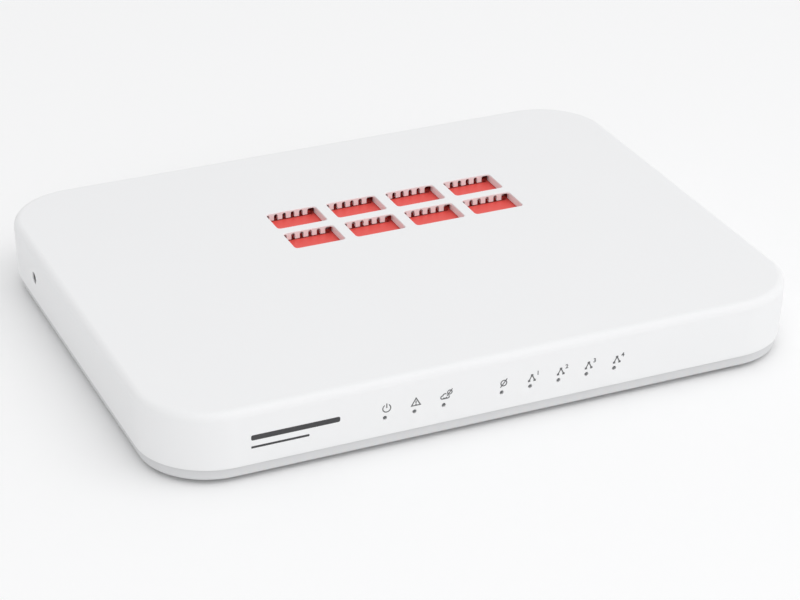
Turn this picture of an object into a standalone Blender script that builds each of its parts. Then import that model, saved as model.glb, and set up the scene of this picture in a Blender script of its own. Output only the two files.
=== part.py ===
"""Desktop firewall appliance: a low white plastic case with a vented roof, eight front
indicators, a recessed reset button in its left side, and a row of sockets at the rear.

Frame: +X to the right as seen from the front, +Y to the rear, +Z up. The origin is under the
middle of the case, on the surface that the rubber feet stand on. Sizes are in millimetres here
and become metres in world() alone."""

import math

import bmesh
import bpy
from mathutils import Matrix, Vector

MM = 0.001

# Outer case
WIDTH = 210.0
DEPTH = 160.0
CORNER_RADIUS = 22.7
EDGE_RADIUS = 2.5
WALL = 2.0
DRAFT = 0.5
FOOT_DROP = 1.6
PLINTH_HEIGHT = 3.7
COVER_HEIGHT = 18.4
GAP = 0.3
CORNER_STEPS = 6
EDGE_STEPS = 3

COVER_BOTTOM = FOOT_DROP + PLINTH_HEIGHT
COVER_TOP = COVER_BOTTOM + COVER_HEIGHT
ROOF_UNDERSIDE = COVER_TOP - WALL
FRONT = -DEPTH / 2
REAR = DEPTH / 2
LEFT = -WIDTH / 2

# Bottom case
PLINTH_INSET = 1.5
PLINTH_CHAMFER = 0.8
FLOOR_THICKNESS = 1.4
LIP_INSET = WALL + DRAFT + 0.4
LIP_THICKNESS = 1.2
LIP_TOP = COVER_BOTTOM + 2.7
FLOOR_TOP = FOOT_DROP + FLOOR_THICKNESS
SLOTS_EACH_SIDE = 3
SLOT_WIDTH = 4.6
SLOT_PITCH = 14.0
SLOT_START = 20.0
SLOT_ENDS = (-20.0, 14.0)
LABEL_LOW = (-36.0, -64.0)
LABEL_HIGH = (36.0, -32.0)
LABEL_MARGIN = 0.5
SEAT_DEPTH = 0.6

# Roof vent: two rows of four windows over a baffle plate
WINDOW_SIZE = (17.0, 11.3)
WINDOW_PITCH = (20.8, 15.1)
WINDOW_COUNT = (4, 2)
VENT_CENTRE = (10.8, 21.5)
WINDOW_RADIUS = 1.2
SKIN_THICKNESS = 0.9
SKIRT_THICKNESS = 1.1
COMB_GAP = 1.3
COMB_TOOTH = 1.6
LAST_COMB_GAP = 2.5
SKIN_UNDERSIDE = COVER_TOP - SKIN_THICKNESS
BAFFLE_TOP = COVER_TOP - 2.9
BAFFLE_THICKNESS = 1.2
BAFFLE_BORDER = 4.4
STAKE_RADIUS = 1.0
STAKE_HEAD_RADIUS = 1.6

# Rear panel: a flange behind the cover's rear opening, with a raised face that fills it
OPENING_HALF_WIDTH = 79.0
OPENING_TOP = COVER_TOP - EDGE_RADIUS
PANEL_FLANGE_HALF_WIDTH = 81.3
PANEL_FLANGE_DEPTHS = (4.1, 2.8)
PANEL_FACE_DEPTH = 0.7
PANEL_CLEARANCE = 0.4

# Board and the height of what stands on it
BOARD_BOTTOM = FLOOR_TOP + 2.2
BOARD_THICKNESS = 1.6
BOARD_TOP = BOARD_BOTTOM + BOARD_THICKNESS
BOARD_HALF_WIDTH = 88.0
BOARD_FRONT = -74.0
BOARD_REAR = 75.4
PART_BASE = BOARD_TOP + GAP
STANDOFFS = [(-80.0, -30.0), (80.0, -30.0), (-80.0, 30.0), (80.0, 30.0)]
CASE_SCREWS = [(-91.0, -66.0), (91.0, -66.0), (-91.0, 66.0), (91.0, 66.0)]
FEET = [(-78.0, -56.0), (78.0, -56.0), (-78.0, 56.0), (78.0, 56.0)]
SIDE_NAMES = ["front_left", "front_right", "rear_left", "rear_right"]
FOOT_RADIUS = 6.5
SCREW_RADIUS = 1.35
HOLE_RADIUS = 1.7
POST_RADIUS = 4.4
POST_TOP = LIP_TOP - 0.9
BOSS_RADIUS = 3.6
BOSS_HOLE_TOP = 16.5
STANDOFF_RADIUS = 3.0
COUNTERBORE_RADIUS = 3.3
COUNTERBORE_DEPTH = 2.0
SCREW_HEAD_RADIUS = 2.9

# Indicators along the front
INDICATOR_PITCH = 9.26
INDICATOR_HEIGHT = 11.2
STATUS_INDICATORS = [-36.8 + INDICATOR_PITCH * k for k in range(3)]
PORT_INDICATORS = [0.3 + INDICATOR_PITCH * k for k in range(5)]
LIGHT_ROD_RADIUS = 0.4
LIGHT_HOLE_RADIUS = 0.7

# Reset button in the left side
RESET_Y = 40.4
RESET_HEIGHT = 13.5
RESET_HOLE_RADIUS = 1.9
RESET_STEM_RADIUS = 1.5
RESET_COLLAR_RADIUS = 2.7
RESET_RECESS = 0.5
SWITCH_FRONT = -88.5

# Network sockets at the rear
PORT_FACE = REAR - 0.4
JACK_HEIGHT = 12.2
JACK_DEPTH = 18.0
JACK_WIDTH = 15.6
JACK_PITCH = 14.0
JACK_CAVITY_DEPTH = 13.5
LAN_CENTRES = [13.0 - JACK_PITCH * k for k in range(4)]
WAN_CENTRE = -52.0
CONSOLE_CENTRE = 52.0
USB_CENTRE = 33.0
POWER_CENTRE = 70.0
SHIELD_THICKNESS = 0.4
CONTACT_COUNT = 8
CONTACT_PITCH = 1.02
CONTACT_WIDTH = 0.45
CONTACT_REACH = 8.0
CONTACT_DROP = 1.5
CONTACT_PIVOT_DEPTH = 3.6
CONTACT_PIVOT_HEIGHT = PART_BASE + 10.4
USB_SIZE = (13.2, 14.0, 6.0)
USB_SHEET = 0.35
POWER_SIZE = (9.0, 14.0, 10.8)
POWER_SOCKET_RADIUS = 3.1
POWER_SOCKET_DEPTH = 10.0
POWER_PIN_RADIUS = 1.0

COLOURS = {
    "white_plastic": ((0.86, 0.86, 0.86), 0.35, 0.0),
    "grey_plastic": ((0.62, 0.62, 0.63), 0.45, 0.0),
    "red_plastic": ((0.78, 0.09, 0.06), 0.45, 0.0),
    "black_plastic": ((0.02, 0.02, 0.022), 0.5, 0.0),
    "clear_plastic": ((0.45, 0.46, 0.48), 0.15, 0.0),
    "white_nylon": ((0.8, 0.79, 0.75), 0.5, 0.0),
    "rubber": ((0.05, 0.05, 0.05), 0.8, 0.0),
    "board_green": ((0.015, 0.16, 0.07), 0.4, 0.0),
    "chip_black": ((0.03, 0.03, 0.032), 0.55, 0.0),
    "thermal_grey": ((0.4, 0.42, 0.45), 0.9, 0.0),
    "aluminium": ((0.72, 0.73, 0.74), 0.35, 1.0),
    "steel": ((0.6, 0.6, 0.62), 0.3, 1.0),
    "gold": ((0.83, 0.6, 0.25), 0.25, 1.0),
    "label": ((0.82, 0.82, 0.8), 0.6, 0.0),
}


def clear_scene():
    for item in list(bpy.data.objects):
        bpy.data.objects.remove(item, do_unlink=True)


def world(point):
    return Vector(point) * MM


def finish_of(name):
    found = bpy.data.materials.get(name)
    if found:
        return found
    colour, roughness, metallic = COLOURS[name]
    made = bpy.data.materials.new(name)
    made.use_nodes = True
    shader = made.node_tree.nodes["Principled BSDF"]
    shader.inputs["Base Color"].default_value = (*colour, 1.0)
    shader.inputs["Roughness"].default_value = roughness
    shader.inputs["Metallic"].default_value = metallic
    return made


def object_from(bm, name, finish=None, smooth=False):
    bmesh.ops.recalc_face_normals(bm, faces=bm.faces)
    mesh = bpy.data.meshes.new(name)
    bm.to_mesh(mesh)
    bm.free()
    made = bpy.data.objects.new(name, mesh)
    bpy.context.scene.collection.objects.link(made)
    if finish:
        mesh.materials.append(finish_of(finish))
    if smooth:
        mesh.shade_smooth()
        mesh.set_sharp_from_angle(angle=math.radians(40))
    return made


def skin(bm, loops):
    """Closes a surface through loops of equally many points, with a flat cap at each end."""
    rings = [[bm.verts.new(world(point)) for point in loop] for loop in loops]
    count = len(rings[0])
    for first, second in zip(rings, rings[1:]):
        for i in range(count):
            j = (i + 1) % count
            bm.faces.new((first[i], first[j], second[j], second[i]))
    bm.faces.new(rings[0])
    bm.faces.new(rings[-1])


def loft(name, loops, finish=None, smooth=False):
    bm = bmesh.new()
    skin(bm, loops)
    return object_from(bm, name, finish, smooth)


def along(axis, u, v, w):
    """The point with u, v across the axis and w along it."""
    return {"X": (w, u, v), "Y": (u, w, v), "Z": (u, v, w)}[axis]


def prism(name, outline, low, high, axis="Z", finish=None):
    loops = [[along(axis, u, v, w) for u, v in outline] for w in (low, high)]
    return loft(name, loops, finish)


def box(name, low, high, finish=None):
    outline = [(low[0], low[1]), (high[0], low[1]), (high[0], high[1]), (low[0], high[1])]
    return prism(name, outline, low[2], high[2], "Z", finish)


def centred_box(name, centre, size, base, finish=None):
    low = (centre[0] - size[0] / 2, centre[1] - size[1] / 2, base)
    high = (centre[0] + size[0] / 2, centre[1] + size[1] / 2, base + size[2])
    return box(name, low, high, finish)


def circle(centre, radius, sides=16):
    turns = [2 * math.pi * (k + 0.5) / sides for k in range(sides)]
    return [(centre[0] + radius * math.cos(a), centre[1] + radius * math.sin(a)) for a in turns]


def turned(name, centre, profile, axis="Z", finish=None, sides=20):
    """A round piece: profile is (radius, distance along the axis) from one end to the other."""
    loops = [[along(axis, u, v, w) for u, v in circle(centre, r, sides)] for r, w in profile]
    return loft(name, loops, finish, smooth=bool(finish))


def rod(name, centre, radius, low, high, axis="Z", sides=16):
    return prism(name, circle(centre, radius, sides), low, high, axis)


def rounded_outline(low, high, radius, steps):
    points = []
    corners = [(high[0], high[1], 0), (low[0], high[1], 90), (low[0], low[1], 180), (high[0], low[1], 270)]
    for x, y, start in corners:
        cx = x - math.copysign(radius, x - (low[0] + high[0]) / 2)
        cy = y - math.copysign(radius, y - (low[1] + high[1]) / 2)
        for k in range(steps + 1):
            a = math.radians(start + 90 * k / steps)
            points.append((cx + radius * math.cos(a), cy + radius * math.sin(a)))
    return points


def case_loop(inset, height):
    low = (LEFT + inset, FRONT + inset)
    high = (-LEFT - inset, REAR - inset)
    outline = rounded_outline(low, high, CORNER_RADIUS - inset, CORNER_STEPS)
    return [(x, y, height) for x, y in outline]


def helper_of(name, shapes):
    """Several separate shapes as one hidden mesh, for a Boolean."""
    bm = bmesh.new()
    for shape in shapes:
        bm.from_mesh(shape.data)
        bpy.data.objects.remove(shape, do_unlink=True)
    made = object_from(bm, name)
    made.hide_render = True
    made.display_type = "WIRE"
    return made


def combine(target, operation, shapes):
    count = len(target.modifiers)
    modifier = target.modifiers.new(f"{operation.lower()}_{count}", "BOOLEAN")
    modifier.operation = operation
    modifier.solver = "EXACT"
    modifier.object = helper_of(f"{target.name}.helper_{count}", shapes)


def cut(target, shapes):
    combine(target, "DIFFERENCE", shapes)


def add(target, shapes):
    combine(target, "UNION", shapes)


def bevel(target, width):
    modifier = target.modifiers.new("edges", "BEVEL")
    modifier.width = width * MM
    modifier.segments = 1
    modifier.limit_method = "ANGLE"


def window_rows():
    """The low and high corner of each vent window, seen from above."""
    found = []
    for row in range(WINDOW_COUNT[1]):
        for column in range(WINDOW_COUNT[0]):
            x = VENT_CENTRE[0] + (column - (WINDOW_COUNT[0] - 1) / 2) * WINDOW_PITCH[0]
            y = VENT_CENTRE[1] + (row - (WINDOW_COUNT[1] - 1) / 2) * WINDOW_PITCH[1]
            half = (WINDOW_SIZE[0] / 2, WINDOW_SIZE[1] / 2)
            found.append(((x - half[0], y - half[1]), (x + half[0], y + half[1])))
    return found


def vent_field(border):
    windows = window_rows()
    low, high = windows[0][0], windows[-1][1]
    return (low[0] - border, low[1] - border), (high[0] + border, high[1] + border)


def stake_places():
    low, high = vent_field(BAFFLE_BORDER - 1.8)
    return [(x, y) for x in (low[0], high[0]) for y in (low[1], high[1])]


def comb_gaps(low, high):
    """The air gaps in a window's rear skirt, left to right, as (start, end) in X."""
    gaps = []
    x = low[0]
    while x + COMB_GAP + COMB_TOOTH + LAST_COMB_GAP <= high[0] + 0.01:
        gaps.append((x, x + COMB_GAP))
        x += COMB_GAP + COMB_TOOTH
    gaps.append((high[0] - LAST_COMB_GAP, high[0]))
    return gaps


def make_top_cover():
    loops = [case_loop(WALL, ROOF_UNDERSIDE), case_loop(WALL + DRAFT, COVER_BOTTOM)]
    loops.append(case_loop(DRAFT, COVER_BOTTOM))
    for k in range(EDGE_STEPS + 1):
        a = math.radians(90 * k / EDGE_STEPS)
        rise = EDGE_RADIUS * math.sin(a)
        loops.append(case_loop(EDGE_RADIUS * (1 - math.cos(a)), COVER_TOP - EDGE_RADIUS + rise))
    cover = loft("top_cover", loops, "white_plastic", smooth=True)

    low, high = vent_field(BAFFLE_BORDER + 1.2)
    cut(cover, [box("pocket", (*low, ROOF_UNDERSIDE - 1), (*high, SKIN_UNDERSIDE))])
    skirts = []
    for window_low, window_high in window_rows():
        skirt_low = (window_low[0] - SKIRT_THICKNESS, window_low[1] - SKIRT_THICKNESS)
        skirt_high = (window_high[0] + SKIRT_THICKNESS, window_high[1] + SKIRT_THICKNESS)
        skirts.append(box("skirt", (*skirt_low, BAFFLE_TOP + GAP), (*skirt_high, SKIN_UNDERSIDE + 0.4)))
    head = BAFFLE_TOP - BAFFLE_THICKNESS - GAP
    profile = [(STAKE_HEAD_RADIUS, head - 0.7), (STAKE_HEAD_RADIUS, head), (STAKE_RADIUS, head),
               (STAKE_RADIUS, SKIN_UNDERSIDE + 0.4)]
    stakes = [turned("stake", place, profile, sides=10) for place in stake_places()]
    bosses = [rod("boss", place, BOSS_RADIUS, POST_TOP + GAP, ROOF_UNDERSIDE + WALL / 2)
              for place in CASE_SCREWS]
    add(cover, skirts + stakes + bosses)

    openings = []
    for window_low, window_high in window_rows():
        outline = rounded_outline(window_low, window_high, WINDOW_RADIUS, 2)
        openings.append(prism("window", outline, BAFFLE_TOP, COVER_TOP + 1))
    cut(cover, openings)
    gaps = []
    for window_low, window_high in window_rows():
        for start, end in comb_gaps(window_low, window_high):
            gap_low = (start, window_high[1] - 2 * WINDOW_RADIUS, BAFFLE_TOP)
            gaps.append(box("gap", gap_low, (end, window_high[1] + 2 * SKIRT_THICKNESS, SKIN_UNDERSIDE)))
    cut(cover, gaps)

    holes = [rod("screw_hole", place, HOLE_RADIUS, POST_TOP - 1, BOSS_HOLE_TOP, sides=12)
             for place in CASE_SCREWS]
    holes += [rod("light_hole", (x, INDICATOR_HEIGHT), LIGHT_HOLE_RADIUS, FRONT - 1, FRONT + 4, "Y", 12)
              for x in STATUS_INDICATORS + PORT_INDICATORS]
    holes.append(rod("reset_hole", (RESET_Y, RESET_HEIGHT), RESET_HOLE_RADIUS, LEFT - 1, LEFT + 4, "X", 20))
    opening_low = (-OPENING_HALF_WIDTH, REAR - 5, COVER_BOTTOM - 1)
    holes.append(box("rear_opening", opening_low, (OPENING_HALF_WIDTH, REAR + 1, OPENING_TOP)))
    cut(cover, holes)


def make_bottom_case():
    inner = LIP_INSET + LIP_THICKNESS
    rows = [
        (inner, FLOOR_TOP),
        (inner, LIP_TOP),
        (LIP_INSET, LIP_TOP),
        (LIP_INSET, COVER_BOTTOM - GAP),
        (PLINTH_INSET, COVER_BOTTOM - GAP),
        (PLINTH_INSET, FOOT_DROP + PLINTH_CHAMFER),
        (PLINTH_INSET + PLINTH_CHAMFER, FOOT_DROP),
    ]
    case = loft("bottom_case", [case_loop(inset, z) for inset, z in rows], "grey_plastic", smooth=True)
    root = FLOOR_TOP - FLOOR_THICKNESS / 2
    posts = [rod("standoff", place, STANDOFF_RADIUS, root, BOARD_BOTTOM - GAP) for place in STANDOFFS]
    posts += [rod("screw_post", place, POST_RADIUS, root, POST_TOP) for place in CASE_SCREWS]
    add(case, posts)

    recesses = [rod("board_hole", place, HOLE_RADIUS, FLOOR_TOP - 0.6, BOARD_BOTTOM + 1, sides=12)
                for place in STANDOFFS]
    recesses += [rod("foot_seat", place, FOOT_RADIUS + 0.4, 0.0, FOOT_DROP + SEAT_DEPTH, sides=24)
                 for place in FEET]
    recesses.append(box("label_seat", (*LABEL_LOW, 0.0), (*LABEL_HIGH, FOOT_DROP + SEAT_DEPTH)))
    seat_half = PANEL_FLANGE_HALF_WIDTH + GAP
    seat_low = (-seat_half, REAR - 6, COVER_BOTTOM - GAP)
    recesses.append(box("panel_seat", seat_low, (seat_half, REAR, LIP_TOP + 1)))
    for side in (-1, 1):
        for k in range(SLOTS_EACH_SIDE):
            x = side * (SLOT_START + SLOT_PITCH * k)
            slot_low = (x - SLOT_WIDTH / 2, SLOT_ENDS[0], 0.0)
            recesses.append(box("slot", slot_low, (x + SLOT_WIDTH / 2, SLOT_ENDS[1], FLOOR_TOP + 1)))
    cut(case, recesses)
    cut(case, [rod("counterbore", place, COUNTERBORE_RADIUS, 0.0, FOOT_DROP + COUNTERBORE_DEPTH)
               for place in CASE_SCREWS])
    cut(case, [rod("clearance", place, HOLE_RADIUS, FOOT_DROP + 1, LIP_TOP, sides=12)
               for place in CASE_SCREWS])


def make_vent_baffle():
    """The red plate under the windows, with an air slot behind each comb."""
    low, high = vent_field(BAFFLE_BORDER)
    bottom = BAFFLE_TOP - BAFFLE_THICKNESS
    baffle = prism("vent_baffle", rounded_outline(low, high, 1.5, 3), bottom, BAFFLE_TOP, "Z", "red_plastic")
    holes = [rod("stake_hole", place, STAKE_RADIUS + GAP, bottom - 1, BAFFLE_TOP + 1, sides=10)
             for place in stake_places()]
    for window_low, window_high in window_rows():
        slot_low = (window_low[0] + 0.4, window_high[1] + 0.3, bottom - 1)
        slot_high = (window_high[0] - 0.4, window_high[1] + 2.6, BAFFLE_TOP + 1)
        holes.append(box("air_slot", slot_low, slot_high))
    cut(baffle, holes)


def make_rear_panel():
    front, back = (REAR - depth for depth in PANEL_FLANGE_DEPTHS)
    flange_low = (-PANEL_FLANGE_HALF_WIDTH, front, COVER_BOTTOM)
    flange_high = (PANEL_FLANGE_HALF_WIDTH, back, ROOF_UNDERSIDE - GAP)
    panel = box("rear_panel", flange_low, flange_high, "white_plastic")
    half = OPENING_HALF_WIDTH - PANEL_CLEARANCE
    face_low = (-half, back - 0.4, COVER_BOTTOM + PANEL_CLEARANCE)
    add(panel, [box("face", face_low, (half, REAR - PANEL_FACE_DEPTH, OPENING_TOP - GAP))])
    shield_half = JACK_WIDTH / 2 + GAP + SHIELD_THICKNESS
    cutouts = [
        (POWER_CENTRE - POWER_SIZE[0] / 2, POWER_CENTRE + POWER_SIZE[0] / 2, POWER_SIZE[2]),
        (CONSOLE_CENTRE - JACK_WIDTH / 2, CONSOLE_CENTRE + JACK_WIDTH / 2, JACK_HEIGHT),
        (USB_CENTRE - USB_SIZE[0] / 2, USB_CENTRE + USB_SIZE[0] / 2, USB_SIZE[2]),
        (LAN_CENTRES[-1] - shield_half, LAN_CENTRES[0] + shield_half, JACK_HEIGHT + GAP + SHIELD_THICKNESS),
        (WAN_CENTRE - shield_half, WAN_CENTRE + shield_half, JACK_HEIGHT + GAP + SHIELD_THICKNESS),
    ]
    shapes = []
    for left, right, height in cutouts:
        low = (left - PANEL_CLEARANCE, REAR - 6, PART_BASE - PANEL_CLEARANCE)
        high = (right + PANEL_CLEARANCE, REAR + 1, PART_BASE + height + PANEL_CLEARANCE)
        shapes.append(box("cutout", low, high))
    cut(panel, shapes)


def jack_profile(centre):
    """A network plug's outline with its latch below, across the jack's mouth."""
    widths = [(1.7, 1.3), (3.2, 2.7), (5.9, 4.1)]
    right = [(widths[0][0], widths[0][1]), (widths[0][0], widths[1][1]), (widths[1][0], widths[1][1])]
    right += [(widths[1][0], widths[2][1]), (widths[2][0], widths[2][1]), (widths[2][0], JACK_HEIGHT - 1.2)]
    left = [(-x, z) for x, z in reversed(right)]
    return [(centre + x, PART_BASE + z) for x, z in right + left]


def make_jack(name, centres, face):
    half = JACK_WIDTH / 2
    low = (min(centres) - half, face - JACK_DEPTH, PART_BASE)
    high = (max(centres) + half, face, PART_BASE + JACK_HEIGHT)
    jack = box(name, low, high, "black_plastic")
    cut(jack, [prism("mouth", jack_profile(x), face - JACK_CAVITY_DEPTH, face + 1, "Y") for x in centres])


def make_shield(name, centres):
    """A folded steel sheet over the top, sides and front of a jack."""
    inner = JACK_WIDTH / 2 + GAP
    outer = inner + SHIELD_THICKNESS
    back = PORT_FACE - JACK_DEPTH
    top = PART_BASE + JACK_HEIGHT + GAP
    low = (min(centres) - outer, back, PART_BASE)
    high = (max(centres) + outer, PORT_FACE, top + SHIELD_THICKNESS)
    shield = box(name, low, high, "steel")
    room_low = (min(centres) - inner, back - 1, PART_BASE - 1)
    room_high = (max(centres) + inner, PORT_FACE - SHIELD_THICKNESS, top)
    cut(shield, [box("room", room_low, room_high)])
    mouth = [box("mouth", (x - 6.1, PORT_FACE - 2, PART_BASE + 1.0), (x + 6.1, PORT_FACE + 1, top - 1.2))
             for x in centres]
    cut(shield, mouth)


def make_contacts(name, centre, face):
    """Eight spring wires that slope down into the jack from the bar that they turn on."""
    pivot = (face - CONTACT_PIVOT_DEPTH, CONTACT_PIVOT_HEIGHT)
    half = CONTACT_WIDTH / 2
    reach = CONTACT_PITCH * (CONTACT_COUNT - 1) / 2 + half + 0.2
    bar_half = 0.3
    low = (centre - reach, pivot[0] - bar_half, pivot[1] - bar_half)
    high = (centre + reach, pivot[0] + bar_half, pivot[1] + bar_half)
    comb = box(name, low, high, "gold")
    tip = (pivot[0] - CONTACT_REACH, pivot[1] - CONTACT_DROP)
    side = [(y, z + rise) for rise, ends in ((0.2, (pivot, tip)), (-0.2, (tip, pivot))) for y, z in ends]
    wires = []
    for k in range(CONTACT_COUNT):
        x = centre + (k - (CONTACT_COUNT - 1) / 2) * CONTACT_PITCH
        wires.append(prism("wire", side, x - half, x + half, "X"))
    add(comb, wires)


def make_usb_port():
    width, depth, height = USB_SIZE
    wall = USB_SHEET
    low = (USB_CENTRE - width / 2, PORT_FACE - depth, PART_BASE)
    high = (USB_CENTRE + width / 2, PORT_FACE, PART_BASE + height)
    shell = box("usb_shell", low, high, "steel")
    room_low = (low[0] + wall, low[1] - 1, low[2] + wall)
    room_high = (high[0] - wall, high[1] + 1, high[2] - wall)
    cut(shell, [box("room", room_low, room_high)])
    core_low = (room_low[0] + GAP, low[1] + GAP, room_low[2] + GAP)
    core_high = (room_high[0] - GAP, low[1] + 3.4, room_high[2] - GAP)
    core = box("usb_core", core_low, core_high, "white_nylon")
    add(core, [box("tongue", (USB_CENTRE - 5.5, low[1] + 3.0, room_high[2] - 2.6),
                   (USB_CENTRE + 5.5, PORT_FACE - 1.6, room_high[2] - 0.75))])


def make_power_jack():
    width, depth, height = POWER_SIZE
    low = (POWER_CENTRE - width / 2, PORT_FACE - depth, PART_BASE)
    high = (POWER_CENTRE + width / 2, PORT_FACE, PART_BASE + height)
    jack = box("power_jack", low, high, "black_plastic")
    centre = (POWER_CENTRE, PART_BASE + height / 2 + 0.2)
    socket_end = PORT_FACE - POWER_SOCKET_DEPTH
    cut(jack, [rod("socket", centre, POWER_SOCKET_RADIUS, socket_end, PORT_FACE + 1, "Y", 24)])
    tip = PORT_FACE - 0.9
    profile = [(POWER_PIN_RADIUS, socket_end + GAP), (POWER_PIN_RADIUS, tip - 0.5),
               (POWER_PIN_RADIUS / 2, tip)]
    turned("power_jack_pin", centre, profile, "Y", "steel", 12)


def make_light_pipe(name, places):
    """A clear bar with one rod forward to the front wall and one leg down to a lamp each."""
    back = BOARD_FRONT + 4.0
    low = (places[0] - 1.4, back - 2.0, INDICATOR_HEIGHT - 1.0)
    high = (places[-1] + 1.4, back, INDICATOR_HEIGHT + 1.0)
    pipe = box(name, low, high, "clear_plastic")
    legs = [box("leg", (x - 0.8, back - 1.7, PART_BASE + 1.2), (x + 0.8, back - 0.3, INDICATOR_HEIGHT))
            for x in places]
    add(pipe, legs)
    add(pipe, [rod("rod", (x, INDICATOR_HEIGHT), LIGHT_ROD_RADIUS, FRONT + 0.5, back - 1.0, "Y", 10)
               for x in places])
    for number, x in enumerate(places, 1):
        lamp = centred_box(name.replace("light_pipe", f"lamp_{number}"), (x, back - 1.0), (1.6, 1.2, 0.8),
                           PART_BASE, "white_nylon")
        bevel(lamp, 0.1)


def make_reset_button():
    """A stem with a stop collar behind the wall. Its origin is at its outer end, on its own axis."""
    collar = LEFT + WALL + DRAFT + GAP
    profile = [
        (RESET_STEM_RADIUS - 0.4, LEFT + RESET_RECESS),
        (RESET_STEM_RADIUS, LEFT + RESET_RECESS + 0.4),
        (RESET_STEM_RADIUS, collar),
        (RESET_COLLAR_RADIUS, collar),
        (RESET_COLLAR_RADIUS, collar + 1.2),
        (RESET_STEM_RADIUS, collar + 1.2),
        (RESET_STEM_RADIUS, SWITCH_FRONT + 1.1),
    ]
    button = turned("reset_button", (RESET_Y, RESET_HEIGHT), profile, "X", "black_plastic", 16)
    origin = world((LEFT + RESET_RECESS, RESET_Y, RESET_HEIGHT))
    button.data.transform(Matrix.Translation(-origin))
    button.location = origin
    switch = box("reset_switch", (SWITCH_FRONT, RESET_Y - 3.4, PART_BASE),
                 (SWITCH_FRONT + 5.0, RESET_Y + 3.4, RESET_HEIGHT + 3.2), "black_plastic")
    cut(switch, [rod("guide", (RESET_Y, RESET_HEIGHT), RESET_STEM_RADIUS + 0.4,
                     SWITCH_FRONT - 1, SWITCH_FRONT + 2.5, "X")])


def make_main_board():
    board = box("main_board", (-BOARD_HALF_WIDTH, BOARD_FRONT, BOARD_BOTTOM),
                (BOARD_HALF_WIDTH, BOARD_REAR, BOARD_TOP), "board_green")
    shapes = [rod("screw_hole", place, HOLE_RADIUS, BOARD_BOTTOM - 1, BOARD_TOP + 1, sides=12)
              for place in STANDOFFS]
    for sx in (-1, 1):
        for sy in (-1, 1):
            low = (min(sx * 82.0, sx * 95.0), min(sy * 57.0, sy * 80.0), BOARD_BOTTOM - 1)
            high = (max(sx * 82.0, sx * 95.0), max(sy * 57.0, sy * 80.0), BOARD_TOP + 1)
            shapes.append(box("corner", low, high))
    cut(board, shapes)


def make_heatsink():
    """A base with nine fins, standing on a thermal pad on the processor."""
    centre = VENT_CENTRE
    processor = centred_box("processor", centre, (19.0, 19.0, 1.5), PART_BASE, "chip_black")
    bevel(processor, 0.15)
    centred_box("thermal_pad", centre, (17.0, 17.0, 0.7), PART_BASE + 1.8, "thermal_grey")
    base = PART_BASE + 2.8
    fins = 9
    width = 40.0
    fin = 1.3
    spacing = (width - fin) / (fins - 1)
    outline = [(centre[0] - width / 2, base), (centre[0] + width / 2, base)]
    for k in reversed(range(fins)):
        left = centre[0] - width / 2 + k * spacing
        if k < fins - 1:
            outline.append((left + fin, base + 2.1))
        outline += [(left + fin, base + 8.8), (left, base + 8.8)]
        if k > 0:
            outline.append((left, base + 2.1))
    prism("heatsink", outline, centre[1] - 20.0, centre[1] + 20.0, "Y", "aluminium")


def make_board_parts():
    blocks = {
        "memory_chip_left": ((43.0, 24.0), (9.0, 13.0, 1.1), "chip_black"),
        "memory_chip_right": ((56.0, 24.0), (9.0, 13.0, 1.1), "chip_black"),
        "flash_chip": ((46.0, 0.0), (18.0, 12.0, 1.2), "chip_black"),
        "network_switch_chip": ((-36.0, 22.0), (16.0, 16.0, 1.5), "chip_black"),
        "lan_transformer_left": ((-24.0, 49.0), (26.0, 11.0, 6.0), "chip_black"),
        "lan_transformer_right": ((6.0, 52.0), (26.0, 9.0, 6.0), "chip_black"),
        "wan_transformer": ((-54.0, 49.0), (15.0, 11.0, 6.0), "chip_black"),
        "clock_crystal": ((-20.0, 2.0), (11.0, 4.6, 3.4), "steel"),
        "power_inductor": ((70.0, 50.0), (12.0, 12.0, 6.0), "thermal_grey"),
    }
    for name, (centre, size, finish) in blocks.items():
        bevel(centred_box(name, centre, size, PART_BASE, finish), 0.4)
    for name, x in (("filter_capacitor_left", 44.0), ("filter_capacitor_right", 55.0)):
        base = PART_BASE
        profile = [(4.0, base), (4.0, base + 1.2), (3.7, base + 1.7), (4.0, base + 2.2),
                   (4.0, base + 9.6), (3.6, base + 10.0)]
        turned(name, (x, 49.0), profile, "Z", "aluminium")


def make_fasteners():
    for name, place in zip(SIDE_NAMES, CASE_SCREWS):
        head = FOOT_DROP + GAP
        under = FOOT_DROP + COUNTERBORE_DEPTH - GAP
        profile = [(SCREW_HEAD_RADIUS - 0.5, head), (SCREW_HEAD_RADIUS, head + 0.4),
                   (SCREW_HEAD_RADIUS, under), (SCREW_RADIUS, under),
                   (SCREW_RADIUS, BOSS_HOLE_TOP - 1.9), (0.6, BOSS_HOLE_TOP - 1.1)]
        turned(f"case_screw_{name}", place, profile, "Z", "steel", 16)
    for name, place in zip(SIDE_NAMES, STANDOFFS):
        profile = [(0.6, BOARD_BOTTOM - 2.4), (SCREW_RADIUS, BOARD_BOTTOM - 1.8), (SCREW_RADIUS, PART_BASE),
                   (2.6, PART_BASE), (2.6, PART_BASE + 1.0), (1.8, PART_BASE + 1.6)]
        turned(f"board_screw_{name}", place, profile, "Z", "steel", 16)


def make_feet_and_label():
    for name, place in zip(SIDE_NAMES, FEET):
        profile = [(FOOT_RADIUS - 0.6, 0.0), (FOOT_RADIUS, 0.6), (FOOT_RADIUS, FOOT_DROP + SEAT_DEPTH - GAP)]
        turned(f"foot_{name}", place, profile, "Z", "rubber", 24)
    low = (LABEL_LOW[0] + LABEL_MARGIN, LABEL_LOW[1] + LABEL_MARGIN, FOOT_DROP)
    high = (LABEL_HIGH[0] - LABEL_MARGIN, LABEL_HIGH[1] - LABEL_MARGIN, FOOT_DROP + SEAT_DEPTH - GAP)
    box("rating_label", low, high, "label")


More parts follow.
